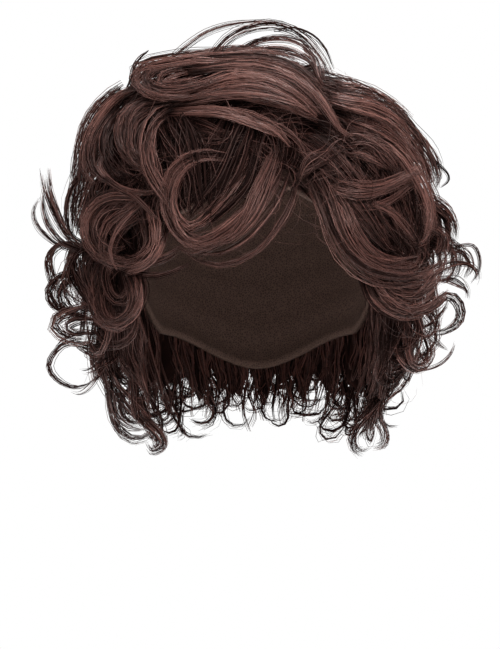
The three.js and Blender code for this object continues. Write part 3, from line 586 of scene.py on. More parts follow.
# How the clumps of a stroke differ.
WANDER = 0.2  # how far a clump wanders from its neighbours, as a share of the stroke's width
MOST_WANDER = 1.8
STROKE_PLACE = 0.4  # spread of a clump's place, in clumps
STROKE_STARTS = (0, 0.08)  # shares of the stroke's length
STROKE_ENDS = (0.84, 1)
STROKE_SWAYS = (0.3, 0.9)  # shares of the wander
STROKE_WAVES = (5, 12)  # radians from end to end
STROKE_SHIFT = 0.4  # as a share of the wander
STROKE_TINT = 0.18  # as a share of the tint
STROKE_CLUMP_SIZES = (0.75, 1.2)
LEAST_HALF_WIDTH = 0.7

# How the strands of a stroke's clump differ.
STRAND_ASIDE = 1.0  # twice the spread across
STRAND_END = 0.04  # as a share of the stroke's length
SHORTEST_STRAND = 0.5
STRAND_HEIGHT = 0.4  # as a share of the wander
STRAND_PHASE = 0.8
STRAND_SWAYS = (0.5, 1.6)
STRAND_SPIN = 0.3  # spread of the turn and the size, as a share of the clumps'

# How the strands of a curl's clump differ, and how curls wave: sizes, spread of the phase, and counts.
CURL_STRAND_SHIFT = 0.6
CURL_STRAND_RADIUS = 0.025
CURL_STRAND_TURN = 0.06
CURL_STRAND_PHASE = 0.35
SWEEP_TURN = 110  # a curl that turns less than this is a sweep, and sweeps wave together
SWEEP_RIPPLES = (2.4, 5)
SWEEP_PHASE = 0.3
SWEEP_CYCLES = (0.85, 1.15)
CURL_RIPPLES = (0.4, 1.5)
CURL_CYCLES = (1, 2.2)

# The grain that streaks the hair: steps from tube to tube, round a core and along a tube.
CORE_GRAIN_STEP = 17.0
STRAND_GRAIN_STEP = 3.7
CORE_GRAIN_RING = 6
GRAIN_ALONG = 3.0

# A tube's cell of the unwrapped square: the margin round its wall, and the size and levels of its ends.
CELL_MARGIN = 0.1
CELL_END_SIZE = 0.03
CELL_END_LEVELS = (0.05, 0.95)

# The dense mass of under-hair. Its waves are given as cycles round the head and radians down the zone.
# Its low tint is painted shade of the depth between the curls.
MASS_PAINTED_SHADE = 0.25
MASS_COLUMNS = 72
MASS_ROWS = 21
MASS_LENGTH = 0.89  # share of a zone's length that its dense mass fills
MASS_UNEVENNESS = 0.045  # how much that share differs along the lower edge
MASS_EDGE_WAVES = (23, 37)
MASS_WAVES = ((14, 9), (30, -14))
MASS_HEIGHT = 0.72  # height of the mass as a share of the zone's
MASS_RELIEF = 0.07
MASS_GRAIN_SWAY = 2.5  # degrees that the grain sways round the head
MASS_GRAIN_WAVES = (6, 22)
MASS_GRAIN_ALONG = 5
CROWN_POLE = 2.0  # degrees from the crown at which the crown's hair starts
ZONE_GAP = 0.4  # degrees between the crown's hair and the zones below it

# Strands that hang inside the zones, in tufts, below the cap's edge. Angles are in degrees.
HANGING = {"crown_hair": 0, "right_side_hair": 30, "back_hair": 64, "left_side_hair": 30}
HANGING_STRANDS = 5
HANGING_STATIONS = 11
HANGING_MARGIN = 3
HANGING_SPREAD = 0.8
HANGING_START = 6  # above the cap's edge
HANGING_ENDS = (-4, 9)  # below the under-hair's edge
HANGING_LIFTS = (2.2, 3.8)
HANGING_RIPPLES = (1, 3.5)
HANGING_PHASES = (0, 6)
HANGING_PHASE = 0.3
HANGING_CYCLES = (1, 2)
HANGING_TINT = 0.4
HANGING_TINT_SPREAD = 0.15
HANGING_DARKEST = 0.05
HANGING_SIZE = 2.1  # in strand radii

# The cap: sewn rows that stand proud inside, and a binding along its edge.
CAP_COLUMNS = 72
CAP_ROWS = 60
CAP_POLE = 0.01  # share of the way down at which the cap's first row lies
SEWN_ROWS = 12
SEWN_RIDGE = 0.6
SEWN_START = 0.75  # share of the way from the middle of a gap to a row at which the ridge starts to rise
BINDING_THICKNESS = 0.9
BINDING_START = 0.965  # share of the way down at which the binding starts to rise
BINDING_RISE = 0.02

# Colours as they show on a screen, from 0 to 255, at shades from 0 to 1.
HAIR_SHADES = (
    (0.0, (15, 10, 9)),
    (0.3, (45, 28, 25)),
    (0.6, (83, 51, 45)),
    (1.0, (119, 82, 74)),
)
# The under-hair's colours, a darker copy of the hair's: painted shade of the depth it lies at.
UNDER_HAIR_PAINTED_SHADES = (
    (0.0, (8, 5, 5)),
    (0.3, (26, 15, 13)),
    (0.7, (62, 37, 32)),
    (1.0, (90, 58, 50)),
)
GRAIN_DETAIL = 3.0
GRAIN_SPAN = (0.25, 0.75)  # the grain's darkest and lightest streaks, and what they do to the shade
STREAK = (-0.22, 0.22)
ROUGH_SHADES = (0.1, 0.7)  # darkest and lightest shades, and how rough they are
ROUGHNESS = (0.7, 0.36)
GLOSS_TINTS = (0.12, 0.5)  # tints between which the gloss rises to its whole strength
HAIR_GLOSS = 0.4
GLOSS_TINT = (1.0, 0.82, 0.76, 1)
HAIR_BUMP = (0.7, 0.0006)  # strength, and height in metres
NET_SHADES = ((0.05, (80, 61, 53)), (0.2, (56, 42, 36)))  # from the thread to the middle of a hole
NET_ROUGHNESS = 0.85
NET_GLOSS = 0.15
NET_SCALE = 700.0  # holes in a metre
NET_BUMP = (0.5, 0.0005)

# The studio, in metres, with the lens and its sensor in millimetres. A lamp: name, place, aim, size, watts.
LENS = 145.2
SENSOR_WIDTH = 36.0
SIGHT = 50  # how far the camera sees
AMBIENT = 0.18
LAMPS = (
    ("key", (0.8, -1.6, 1.1), (0, 0, -0.06), 0.7, 78),
    ("fill", (-1.4, -1.3, 0.4), (0, 0, -0.08), 0.9, 24),
    ("top", (0.1, 0.2, 1.6), (0, 0, 0), 0.7, 34),
    ("back", (0.3, 1.9, 0.6), (0, 0, -0.08), 1.0, 46),
)
FLOOR_SIDES = 96
FLOOR_RADIUS = 0.8
FLOOR_LEVEL = -0.45
FLOOR_COLOUR = (0.93, 0.93, 0.93, 1)
FLOOR_ROUGHNESS = 0.9


def unit(vectors):
    return vectors / np.maximum(np.linalg.norm(vectors, axis=-1, keepdims=True), 1e-9)


def ease(share):
    share = np.clip(share, 0, 1)
    return share * share * (3 - 2 * share)


# Paths


def half_sizes(above, lift):
    """Half sizes of the head grown by lift, above its widest level or below it."""
    rise = np.where(above, CROWN_RISE, NAPE_DROP)
    return np.stack(np.broadcast_arrays(HALF_BREADTH + lift, HALF_LENGTH + lift, rise + lift), -1)


def over_head(around, polar, lift, power):
    """Points over the head: around in degrees from the front, polar in degrees down from the crown."""
    around, polar = np.radians(around), np.radians(polar)
    level = np.sin(polar)
    parts = np.broadcast_arrays(level * np.sin(around), -level * np.cos(around), np.cos(polar))
    way = np.stack(parts, -1)
    size = (np.abs(way) ** power).sum(-1, keepdims=True) ** (1 / power)
    return way / size * half_sizes(way[..., 2] >= 0, lift) + HEAD_CENTRE


def polar_at(drop):
    """The polar angle on the head at a depth below the crown."""
    rise = np.where(np.asarray(drop) <= CROWN_RISE, CROWN_RISE, NAPE_DROP)
    return np.degrees(np.arccos((CROWN_RISE - drop) / rise))


def edge_polar(around, drops):
    """The polar angle of the cap's or the under-hair's lower edge."""
    side = np.abs((np.asarray(around, float) + 180) % 360 - 180)
    at = np.clip(np.searchsorted(HAIRLINE_AROUND, side), 1, len(drops) - 1)
    low, high = np.take(HAIRLINE_AROUND, at - 1), np.take(HAIRLINE_AROUND, at)
    share = ease((side - low) / (high - low))
    return polar_at(np.take(drops, at - 1) * (1 - share) + np.take(drops, at) * share)


def on_panel(panel, flat):
    """Points of a panel, level with the middle of the head."""
    across, up, look = np.array(PANELS[panel], float)
    points = across * flat[..., :1] + up * flat[..., 1:] - HEAD_CENTRE
    return points * (1 - np.abs(look))


def form_depth(panel, flat, lift):
    """How far the outer form, grown by lift, stands in front of points of a panel."""
    points = on_panel(panel, flat)
    half = half_sizes(points[..., 2] >= 0, lift)
    facing = (half * np.abs(PANELS[panel][2])).sum(-1)
    within = 1 - (np.abs(points / half) ** FORM_POWER).sum(-1)
    softened = (within + np.hypot(within, 2 * OUTLINE_SOFTNESS)) / 2
    return facing * softened ** (1 / FORM_POWER)


def at_depth(panel, flat, middle, lift, reach, back):
    """Points of a panel set out onto the form, following at most reach of its relief round their middle."""
    level = form_depth(panel, np.broadcast_to(middle, flat.shape), lift)
    fall = form_depth(panel, flat, lift) - level
    depth = level + reach * np.tanh(fall / reach) - back
    look = np.array(PANELS[panel][2], float)
    return on_panel(panel, flat) - look * depth[..., None] + HEAD_CENTRE


def as_seen(points):
    """Points drawn on the picture's plane and set at other depths, shifted to show where they were drawn."""
    nearer = (points[..., 1:2] - EYE[1]) / (PICTURE_PLANE - EYE[1])
    seen = EYE + (points - EYE) * nearer
    seen[..., 1] = points[..., 1]
    return seen


def curl_paths(panel, curls, share):
    """Paths of curls, each straight from its root onto the circle of the curl, then round it."""
    root = np.stack([curls["root_x"], curls["root_z"]], -1)
    eye = np.stack([curls["eye_x"], curls["eye_z"]], -1)
    away = eye - root
    distance = np.linalg.norm(away, axis=-1)
    radius = np.minimum(curls["radius"], MOST_RADIUS * distance)
    sense = np.sign(curls["turn"])
    sweep = np.radians(np.abs(curls["turn"]))
    run = np.sqrt(distance**2 - radius**2)
    heading = np.arctan2(away[:, 1], away[:, 0]) - sense * np.arcsin(radius / distance)
    landing = root + run[:, None] * np.stack([np.cos(heading), np.sin(heading)], -1)
    start = np.arctan2(*(landing - eye).T[::-1])
    along = share * (run + radius * sweep)[:, None]
    turned = np.clip((along - run[:, None]) / radius[:, None], 0, sweep[:, None])
    tightened = radius[:, None] * (1 - (1 - CURL_TIGHTENS) * turned / sweep[:, None])
    angle = start[:, None] + sense[:, None] * turned
    arc = eye[:, None] + tightened[..., None] * np.stack([np.cos(angle), np.sin(angle)], -1)
    straight = np.clip(along / np.maximum(run[:, None], 1e-6), 0, 1)
    line = root[:, None] + straight[..., None] * (landing - root)[:, None]
    flat = np.where((along < run[:, None])[..., None], line, arc)
    eased = ease(share)
    lift = curls["lift_root"][:, None] * (1 - eased) + curls["lift_tip"][:, None] * eased
    reach = np.maximum(radius**2 / CURL_FLATNESS, run * RUN_DEPTH)[:, None]
    return at_depth(panel, flat, eye[:, None], lift, reach, curls["back"][:, None] * eased)


def drawn_curve(points):
    """A smooth curve through points: close points on it, and its length at each."""
    points = np.array(points, float)
    longer = np.vstack([2 * points[0] - points[1], points, 2 * points[-1] - points[-2]])
    share = np.linspace(0, 1, CURVE_STEPS, endpoint=False)[:, None]
    spans = []
    for before, start, end, after in zip(longer, longer[1:], longer[2:], longer[3:]):
        slope = end - before
        bend = 2 * before - 5 * start + 4 * end - after
        twist = 3 * start - before - 3 * end + after
        spans.append(start + (slope * share + bend * share**2 + twist * share**3) / 2)
    curve = np.vstack([*spans, points[-1:]])
    steps = np.linalg.norm(np.diff(curve, axis=0), axis=1)
    return curve, np.concatenate([[0], np.cumsum(steps)])


def read_along(values, at, along):
    return np.stack([np.interp(along, at, column) for column in values.T], -1)


def stroke_breadth(along):
    return np.interp(along, (0, 0.15, 0.5, 0.85, 1), (0.6, 0.85, 1, 0.75, 0.45))


def wandered(flat, centre, clumps):
    """Paths of a stroke each turned, grown and shifted a little."""
    x, z = np.moveaxis(flat - centre, -1, 0)
    cosine, sine = np.cos(clumps["spin"])[:, None], np.sin(clumps["spin"])[:, None]
    spun = np.stack([cosine * x - sine * z, sine * x + cosine * z], -1)
    shift = np.stack([clumps["shift_x"], clumps["shift_z"]], -1)
    return centre + clumps["scale"][:, None, None] * spun + shift[:, None]


def stroke_paths(drawn, clumps, share):
    """Paths of clumps or strands that lie side by side along a stroke."""
    curve, gone = drawn_curve(drawn["points"])
    at = gone / gone[-1]
    along = clumps["first"][:, None] + (clumps["last"] - clumps["first"])[:, None] * share
    turned = np.gradient(curve, axis=0)[:, ::-1] * (-1, 1)
    breadth = drawn["width"] / 2 * stroke_breadth(along)
    sway = clumps["sway"][:, None] * np.sin(clumps["phase"][:, None] + clumps["waves"][:, None] * along)
    aside = clumps["place"][:, None] * breadth + sway
    flat = read_along(curve, at, along) + unit(read_along(turned, at, along)) * aside[..., None]
    flat = wandered(flat, curve.mean(axis=0), clumps)
    root_lift, tip_lift = drawn["lifts"]
    root_back, tip_back = drawn["back"]
    height = clumps["height"] + ROUNDNESS * drawn["width"] * (1 - clumps["place"] ** 2)
    lift = tip_lift - (tip_lift - root_lift) * (1 - along) ** 3 + height[:, None]
    back = root_back + (tip_back - root_back) * ease(along)
    return as_seen(at_depth("front", flat, curve.mean(axis=0), lift, STROKE_DEPTH * gone[-1], back))


def sections(paths, facing):
    """The ways across and out from paths, with the out way turned towards facing."""
    along = unit(np.gradient(paths, axis=1))
    side = unit(np.cross(np.broadcast_to(facing, along.shape), along))
    return side, np.cross(along, side)


def rippled(paths, facing, size, phase, cycles):
    """Paths with a gentle wave across them that grows towards their tips."""
    share = np.linspace(0, 1, paths.shape[1])
    side, out = sections(paths, facing)
    angle = phase[:, None] + 2 * np.pi * cycles[:, None] * share
    reach = size[:, None] * (RIPPLE_AT_ROOT + (1 - RIPPLE_AT_ROOT) * share)
    aside, outward = reach * np.sin(angle), RIPPLE_DEPTH * reach * np.cos(angle)
    return paths + side * aside[..., None] + out * outward[..., None]


# Meshes of tubes


def tubes(paths, side, out, across, deep, sides, spin):
    """Rings of points round paths, as paths by stations by sides by 3."""
    angle = spin[:, None] + 2 * np.pi * np.arange(sides) / sides
    cosine, sine = np.cos(angle)[:, None, :, None], np.sin(angle)[:, None, :, None]
    return (
        paths[:, :, None]
        + cosine * across[..., None] * side[:, :, None]
        + sine * deep[..., None] * out[:, :, None]
    )


def tube_corners(count, stations, sides):
    """Corner indices of the tubes' walls and ends."""
    first = (np.arange(count) * stations * sides)[:, None, None]
    row = (np.arange(stations - 1) * sides)[None, :, None]
    here, there = np.arange(sides), (np.arange(sides) + 1) % sides
    walls = np.stack([first + row + at for at in (here, there, there + sides, here + sides)], -1)
    ring = np.arange(sides)
    begin = first[:, :, 0] + ring[::-1]
    end = first[:, :, 0] + (stations - 1) * sides + ring
    return walls.reshape(-1, 4), np.stack([begin, end], 1).reshape(-1, sides)


def tube_places(count, stations, sides, first_cell, grid):
    """UV places of the same corners: each tube has a cell of its own in a square grid."""
    cells = first_cell + np.arange(count)
    cell = np.stack([cells % grid, cells // grid], -1)[:, None, None, None]
    row, column = np.meshgrid(np.arange(stations - 1), np.arange(sides), indexing="ij")
    u = np.stack([column, column + 1, column + 1, column], -1) / sides
    v = np.stack([row, row, row + 1, row + 1], -1) / (stations - 1)
    walls = (cell + CELL_MARGIN + (1 - 2 * CELL_MARGIN) * np.stack([u, v], -1)) / grid
    angle = 2 * np.pi * np.arange(sides) / sides
    ring = CELL_END_SIZE * np.stack([np.cos(angle), np.sin(angle)], -1)
    ends = np.stack([ring + (0.5, level) for level in CELL_END_LEVELS])
    return walls.reshape(-1, 2), ((cell[:, :, 0] + ends) / grid).reshape(-1, 2)


def add_object(name, mesh, material):
    mesh.materials.append(material)
    piece = bpy.data.objects.new(name, mesh)
    bpy.context.scene.collection.objects.link(piece)
    return piece


def set_attributes(mesh, tint, grain):
    """The point attributes that the hair's material reads. The tint carries painted light and shade as well
    as the hair's own tone.
    """
    shade = mesh.attributes.new("tint", "FLOAT", "POINT")
    shade.data.foreach_set("value", tint.astype(np.float32))
    streak = mesh.attributes.new("grain", "FLOAT_VECTOR", "POINT")
    streak.data.foreach_set("vector", grain.astype(np.float32).ravel())


def hair_object(name, groups, material):
    """One object from groups of tubes, each (points, tint, grain), in millimetres."""
    grid = int(np.ceil(np.sqrt(sum(len(points) for points, _, _ in groups))))
    vertices, corners, starts, places, tints, grains = [], [], [], [], [], []
    base, cell, corner = 0, 0, 0
    for points, tint, grain in groups:
        count, stations, sides, _ = points.shape
        for faces in tube_corners(count, stations, sides):
            starts.append(corner + np.arange(len(faces)) * faces.shape[1])
            corners.append(base + faces.ravel())
            corner += faces.size
        places.extend(tube_places(count, stations, sides, cell, grid))
        vertices.append(points.reshape(-1, 3))
        tints.append(np.broadcast_to(tint, points.shape[:3]).ravel())
        grains.append(np.broadcast_to(grain, points.shape).reshape(-1, 3))
        base += count * stations * sides
        cell += count
    starts = np.concatenate(starts).astype(np.int32)
    mesh = bpy.data.meshes.new(name)
    mesh.vertices.add(base)
    mesh.vertices.foreach_set("co", (np.concatenate(vertices) * MM).astype(np.float32).ravel())
    mesh.loops.add(corner)
    mesh.loops.foreach_set("vertex_index", np.concatenate(corners).astype(np.int32))
    mesh.polygons.add(len(starts))
    mesh.polygons.foreach_set("loop_start", starts)
    mesh.polygons.foreach_set("use_smooth", np.ones(len(starts), bool))
    mesh.update(calc_edges=True)
    set_attributes(mesh, np.concatenate(tints), np.concatenate(grains))
    uv = mesh.uv_layers.new(name="OFBake")
    uv.data.foreach_set("uv", np.concatenate(places).astype(np.float32).ravel())
    return add_object(name, mesh, material)


def clump_taper(share):
    return np.interp(share, (0, 0.15, 0.45, 0.75, 0.92, 1), (0.5, 0.85, 1, 0.8, 0.45, 0.1))


def strand_taper(share):
    return np.interp(share, (0, 0.1, 0.7, 1), (0.8, 1, 0.85, 0.25))


def root_shade(share):
    """Roots lie in the dark of the hair over them."""
    return np.interp(share, (0, 0.22), (0.5, 1))


def core_taper(share):
    """A clump's own taper, and a pointed root."""
    return clump_taper(share) * np.interp(share, (0, 0.05), (0.2, 1))


def core_tubes(paths, facing, half_width, tint, rng):
    """Ridged, streaky cores that fill the clumps behind their strands."""
    count, stations, _ = paths.shape
    share = np.linspace(0, 1, stations)
    side, out = sections(paths, facing)
    ridges = rng.uniform(*CORE_RIDGES, (count, 1, CORE_SIDES))
    size = half_width[:, None, None] * core_taper(share)[:, None] * ridges
    spin = rng.uniform(0, 2 * np.pi, count)
    points = tubes(paths, side, out, size, CORE_DEPTH * size, CORE_SIDES, spin)
    angle = 2 * np.pi * np.arange(CORE_SIDES) / CORE_SIDES
    grain = np.zeros(points.shape)
    grain[..., 0] = CORE_GRAIN_RING * np.cos(angle) + CORE_GRAIN_STEP * np.arange(count)[:, None, None]
    grain[..., 1] = CORE_GRAIN_RING * np.sin(angle)
    grain[..., 2] = GRAIN_ALONG * share[:, None]
    return points, tint[..., None], grain


def strand_tubes(paths, facing, radius, tint, rng):
    """Thin strands along paths."""
    count, stations, _ = paths.shape
    share = np.linspace(0, 1, stations)
    side, out = sections(paths, facing)
    size = (radius[:, None] * strand_taper(share))[..., None]
    points = tubes(paths, side, out, size, size, STRAND_SIDES, rng.uniform(0, 2 * np.pi, count))
    grain = np.zeros(points.shape)
    grain[..., 0] = STRAND_GRAIN_STEP * np.arange(count)[:, None, None]
    grain[..., 2] = GRAIN_ALONG * share[:, None]
    return points, tint[..., None], grain


# Clumps and strands


def station_shares(turn, thin):
    """Shares of the length at which a path is drawn: more where it turns more, or is thin."""
    more = (turn - STATION_TURN) / TURN_FOR_STATION
    count = np.clip(FEWEST_STATIONS + more, FEWEST_STATIONS, MOST_STATIONS)
    return np.linspace(0, 1, int(count) + (THIN_STATIONS if thin else 0))


def whole_turn(points):
    """How far a drawn curve turns altogether, in degrees."""
    headings = np.unwrap(np.arctan2(*np.diff(np.array(points, float), axis=0).T[::-1]))
    return np.degrees(np.abs(np.diff(headings)).sum())


def hollow_depth(look, points):
    """How deep the hollows of the front are at points."""
    depth = np.zeros(points.shape[:-1])
    if look[1] > 0:
        for x, z, half_x, half_z, most in HOLLOWS:
            off = ((points[..., 0] - x) / half_x) ** 2 + ((points[..., 2] - z) / half_z) ** 2
            depth += most * np.exp(-off)
    return depth


def sunk(points, look, sink):
    """Points let down into the hollows, and the tint that painted shade takes from them there."""
    deep = sink * hollow_depth(look, points)
    return points + deep[..., None] * look, HOLLOW_PAINTED_SHADE * deep


def gathered(paths, look, reach, rng):
    """Strands spread round the spines of their clumps, with a twist that lets them cross."""
    many, stations, _ = paths.shape
    share = np.linspace(0, 1, stations)
    side, out = sections(paths, -look)
    start = rng.uniform(0, 2 * np.pi, many)
    twist = rng.uniform(-STRAND_TWIST, STRAND_TWIST, many)
    angle = start[:, None] + twist[:, None] * share
    off = np.sqrt(rng.uniform(*STRAND_SPREAD, many))[:, None] * reach
    aside, outward = off * np.cos(angle), CLUMP_DEPTH * off * np.sin(angle)
    return paths + side * aside[..., None] + out * outward[..., None]


def dressed(panel, spines, paths, half_width, tint, sink, rng):
    """Strands along paths, gathered round the spines of their clumps, and a core along each spine."""
    look = np.array(PANELS[panel][2], float)
    count, many = len(spines), len(paths)
    groups = []
    if many:
        each = many // count
        share = np.linspace(0, 1, paths.shape[1])
        reach = np.repeat(half_width, each)[:, None] * np.maximum(TIP_SPREAD, clump_taper(share))
        paths, painted_hollow_shade = sunk(gathered(paths, look, reach, rng), look, sink)
        tints = np.repeat(tint, each) + rng.normal(0, STRAND_TINT, many)
        shade = np.clip(tints[:, None] * root_shade(share) - painted_hollow_shade, DARKEST_STRAND, 1)
        radius = STRAND_RADIUS * rng.uniform(*STRAND_SIZES, many) * (SINGLE_SIZE if each == 1 else 1)
        groups.append(strand_tubes(paths, -look, radius, shade, rng))
    if many != count:
        spines, painted_hollow_shade = sunk(spines, look, sink)
        # Cores are darker than their strands: painted shade in the gaps between them.
        painted_core_shade = rng.uniform(*CORE_PAINTED_SHADE, count) if many else 1.0
        shade = (tint * painted_core_shade)[:, None] - painted_hollow_shade
        core = CORE_SHARE * half_width if many else half_width
        groups.append(core_tubes(spines, -look, core, np.clip(shade, 0, 1), rng))
    return groups


def repeated(clumps, each):
    return {key: np.repeat(value, each) for key, value in clumps.items()}


def strays(count, rng):
    """How loosely each strand keeps to its clump."""
    return np.where(rng.random(count) < STRAY_SHARE, STRAY_REACH, 1.0)


def stroke_clumps(drawn, wander, size, rng):
    """The clumps that lie side by side along a stroke, each a little different."""
    count = drawn["clumps"]
    place = (np.arange(count) + 0.5) / count * 2 - 1
    return {
        "place": place + rng.normal(0, STROKE_PLACE / count, count),
        "first": rng.uniform(*STROKE_STARTS, count),
        "last": rng.uniform(*STROKE_ENDS, count),
        "sway": rng.uniform(*STROKE_SWAYS, count) * wander,
        "phase": rng.uniform(0, 2 * np.pi, count),
        "waves": rng.uniform(*STROKE_WAVES, count),
        "height": rng.normal(0, wander, count),
        "spin": rng.normal(0, wander / size, count),
        "scale": rng.normal(1, wander / size, count),
        "shift_x": rng.normal(0, STROKE_SHIFT * wander, count),
        "shift_z": rng.normal(0, STROKE_SHIFT * wander, count),
    }


def stroke_strands(drawn, clumps, wander, size, rng):
    """The strands of a stroke's clumps, each a little different from its clump."""
    strands = repeated(clumps, drawn["strands"])
    many = len(strands["place"])
    loose = strays(many, rng)
    strands["place"] += rng.normal(0, STRAND_ASIDE / drawn["width"], many) * loose
    last = strands["last"] + rng.normal(0, STRAND_END, many) * loose
    strands["last"] = np.clip(last, SHORTEST_STRAND, 1)
    strands["height"] += rng.normal(0, STRAND_HEIGHT * wander, many) * loose
    strands["phase"] += rng.normal(0, STRAND_PHASE, many)
    strands["sway"] *= rng.uniform(*STRAND_SWAYS, many)
    for key in ("spin", "scale"):
        strands[key] += rng.normal(0, STRAND_SPIN * wander / size, many) * loose
    return strands


def stroke_groups(drawn, rng):
    """The hair of one stroke."""
    count, each, width = drawn["clumps"], drawn["strands"], drawn["width"]
    points = np.array(drawn["points"], float)
    size = np.linalg.norm(points - points.mean(axis=0), axis=1).max()
    wander = min(WANDER * width, MOST_WANDER)
    clumps = stroke_clumps(drawn, wander, size, rng)
    strands = stroke_strands(drawn, clumps, wander, size, rng)
    share = station_shares(whole_turn(drawn["points"]), 0 < each <= THIN_CLUMP)
    broad = max(LEAST_HALF_WIDTH, CLUMP_SPREAD * width / (2 * count))
    half_width = broad * rng.uniform(*STROKE_CLUMP_SIZES, count)
    tint = drawn["tint"] * rng.normal(1, STROKE_TINT, count)
    spines = stroke_paths(drawn, clumps, share)
    return dressed("front", spines, stroke_paths(drawn, strands, share), half_width, tint, 0, rng)


def outline_height(half_breadth, across, lift):
    """How high the outer form, grown by lift, reaches at a place across it."""
    share = np.clip(np.abs(across) / (half_breadth + lift), 0, OUTLINE_END)
    return HEAD_CENTRE[2] + (CROWN_RISE + lift) * (1 - share**FORM_POWER) ** (1 / FORM_POWER)


def rooted(panel, curls):
    """Curls kept below the outline, with no root of the front's in the cap's face opening."""
    if panel == "front":
        beside = np.sign(curls["eye_x"]) * np.maximum(np.abs(curls["root_x"]), OPENING_HALF_BREADTH)
        curls["root_x"] = np.where(curls["root_z"] < OPENING_TOP, beside, curls["root_x"])
    if panel != "top":
        breadth = HALF_BREADTH if panel in ("front", "back") else HALF_LENGTH
        highest = outline_height(breadth, curls["eye_x"], curls["lift_tip"]) - curls["radius"]
        curls["eye_z"] = np.minimum(curls["eye_z"], highest)
        highest = outline_height(breadth, curls["root_x"], curls["lift_root"] - ROOT_DEPTH)
        curls["root_z"] = np.minimum(curls["root_z"], highest)
    return curls


def ripples(curls, rng):
    """Size, phase and number of each curl's waves. Sweeps wave together, tight curls in their own ways."""
    count = len(curls["turn"])
    sweeps = np.abs(curls["turn"]) < SWEEP_TURN
    size = np.where(sweeps, rng.uniform(*SWEEP_RIPPLES, count), rng.uniform(*CURL_RIPPLES, count))
    together = np.pi + rng.normal(0, SWEEP_PHASE, count)
    phase = np.where(sweeps, together, rng.uniform(0, 2 * np.pi, count))
    cycles = np.where(sweeps, rng.uniform(*SWEEP_CYCLES, count), rng.uniform(*CURL_CYCLES, count))
    return size, phase, cycles


def curl_groups(panel, curls, each, half_width, tint, sink, rng):
    """The hair of curls drawn on one panel."""
    share = station_shares(np.abs(curls["turn"]).mean(), each == 1)
    look = np.array(PANELS[panel][2], float)
    size, phase, cycles = ripples(curls, rng)
    spines = rippled(curl_paths(panel, curls, share), -look, size, phase, cycles)
    strands = repeated(curls, each)
    many = len(strands["turn"])
    if not many:
        return dressed(panel, spines, spines[:0], half_width, tint, sink, rng)
    loose = strays(many, rng)
    strands["eye_x"] += rng.normal(0, CURL_STRAND_SHIFT, many) * loose
    strands["eye_z"] += rng.normal(0, CURL_STRAND_SHIFT, many) * loose
    strands["radius"] *= 1 + rng.normal(0, CURL_STRAND_RADIUS, many) * loose
    strands["turn"] *= 1 + rng.normal(0, CURL_STRAND_TURN, many) * loose
    strands["lift_tip"] += rng.normal(0, CURL_STRAND_SHIFT, many) * loose
    phase = np.repeat(phase, each) + rng.normal(0, CURL_STRAND_PHASE, many)
    paths = curl_paths(panel, strands, share)
    paths = rippled(paths, -look, np.repeat(size, each), phase, np.repeat(cycles, each))
    return dressed(panel, spines, paths, half_width, tint, sink, rng)


def fill_groups(row, rng):
    """The hair of one row of loose clumps."""
    count, each = row["clumps"], row["strands"]
    curls = {key: rng.uniform(*span, count) for key, span in row["spans"].items()}
    for key, step in EVEN_STEPS.items():
        low, high = row["spans"][key]
        curls[key] = low + (high - low) * ((rng.random() + step * np.arange(count)) % 1)
    curls["root_x"] += curls["eye_x"]
    curls["root_z"] += curls["eye_z"]
    curls["turn"] *= row["sense"] or np.where(rng.random(count) < 0.5, -1, 1)
    curls = rooted(row["panel"], curls)
    half_width = rng.uniform(*(LOOSE_CLUMP if each else BROAD_CLUMP), count)
    # Painted light and shade: loose hair is lighter the further out its tip lies, and darker deep down.
    inmost, outmost = PAINTED_LIGHT_LIFTS
    height = np.clip((curls["lift_tip"] - inmost) / (outmost - inmost), 0, 1)
    tint = row["tint"] + OUTER_PAINTED_LIGHT * height + rng.normal(0, CLUMP_TINT, count)
    return curl_groups(row["panel"], curls, each, half_width, np.clip(tint, DARKEST_CLUMP, 1), 1, rng)


def tier_groups(panel, eye, level, radius, lifts, sense, rng):
    """The hair of one curl of a tier, split into clumps across its width."""
    count = TIER_CLUMPS
    place = np.linspace(-1, 1, count) + rng.normal(0, TIER_UNEVENNESS / count, count)
    offset = place * TIER_WIDTH * TIER_COVER
    least, most = TIER_WANDER
    wander = least + min(most, TIER_LOOSENESS * radius)
    lean = np.arcsin(min(MOST_RADIUS, radius / np.hypot(TIER_SWAY, TIER_RISE)))
    heading = np.arctan2(-TIER_RISE, -sense * TIER_SWAY) - sense * lean
    aside = eye + sense * (TIER_SWAY + np.sin(heading) * offset)
    above = level + TIER_RISE - sense * np.cos(heading) * offset
    root_lift, tip_lift = lifts
    curls = {
        "root_x": aside + rng.normal(0, TIER_ROOT_WANDER, count),
        "root_z": above + rng.normal(0, TIER_ROOT_WANDER, count),
        "eye_x": eye + rng.normal(0, wander, count),
        "eye_z": level + rng.normal(0, wander, count),
        "radius": radius + rng.normal(0, TIER_RADIUS_SPREAD * radius, count) + offset,
        "turn": sense * TIER_SWEEP * rng.uniform(*TIER_TURNS, count),
        "lift_root": root_lift + rng.uniform(*TIER_ROOT_LIFTS, count) * TIER_DEPTH,
        "lift_tip": tip_lift + rng.uniform(*TIER_TIP_LIFTS, count) * TIER_DEPTH,
        "back": np.zeros(count),
    }
    curls["radius"] = np.maximum(TIER_LEAST_RADIUS, curls["radius"])
    half_width = CLUMP_SPREAD * TIER_WIDTH / (2 * count) * rng.uniform(*TIER_CLUMP_SIZES, count)
    tint = TIER_TINT + rng.normal(0, CLUMP_TINT, count)
    return curl_groups(panel, rooted(panel, curls), TIER_STRANDS, half_width, tint, 0, rng)


def tier_locks(rng):
    """The name and hair of each curl of the tiers. Neighbours turn opposite ways."""
    for panel, tier, eyes, level, radius, lifts in CURL_TIERS:
        for i, eye in enumerate(eyes):
            sense = -1 if i % 2 else 1
            yield f"{tier}_{i + 1}", tier_groups(panel, eye, level, radius, lifts, sense, rng)


def front_locks(rng):
    """The name and hair of each lock of the front."""
    for name, strokes in FRONT_LOCKS.items():
        yield name, [group for drawn in strokes for group in stroke_groups(drawn, rng)]


# Under-hair


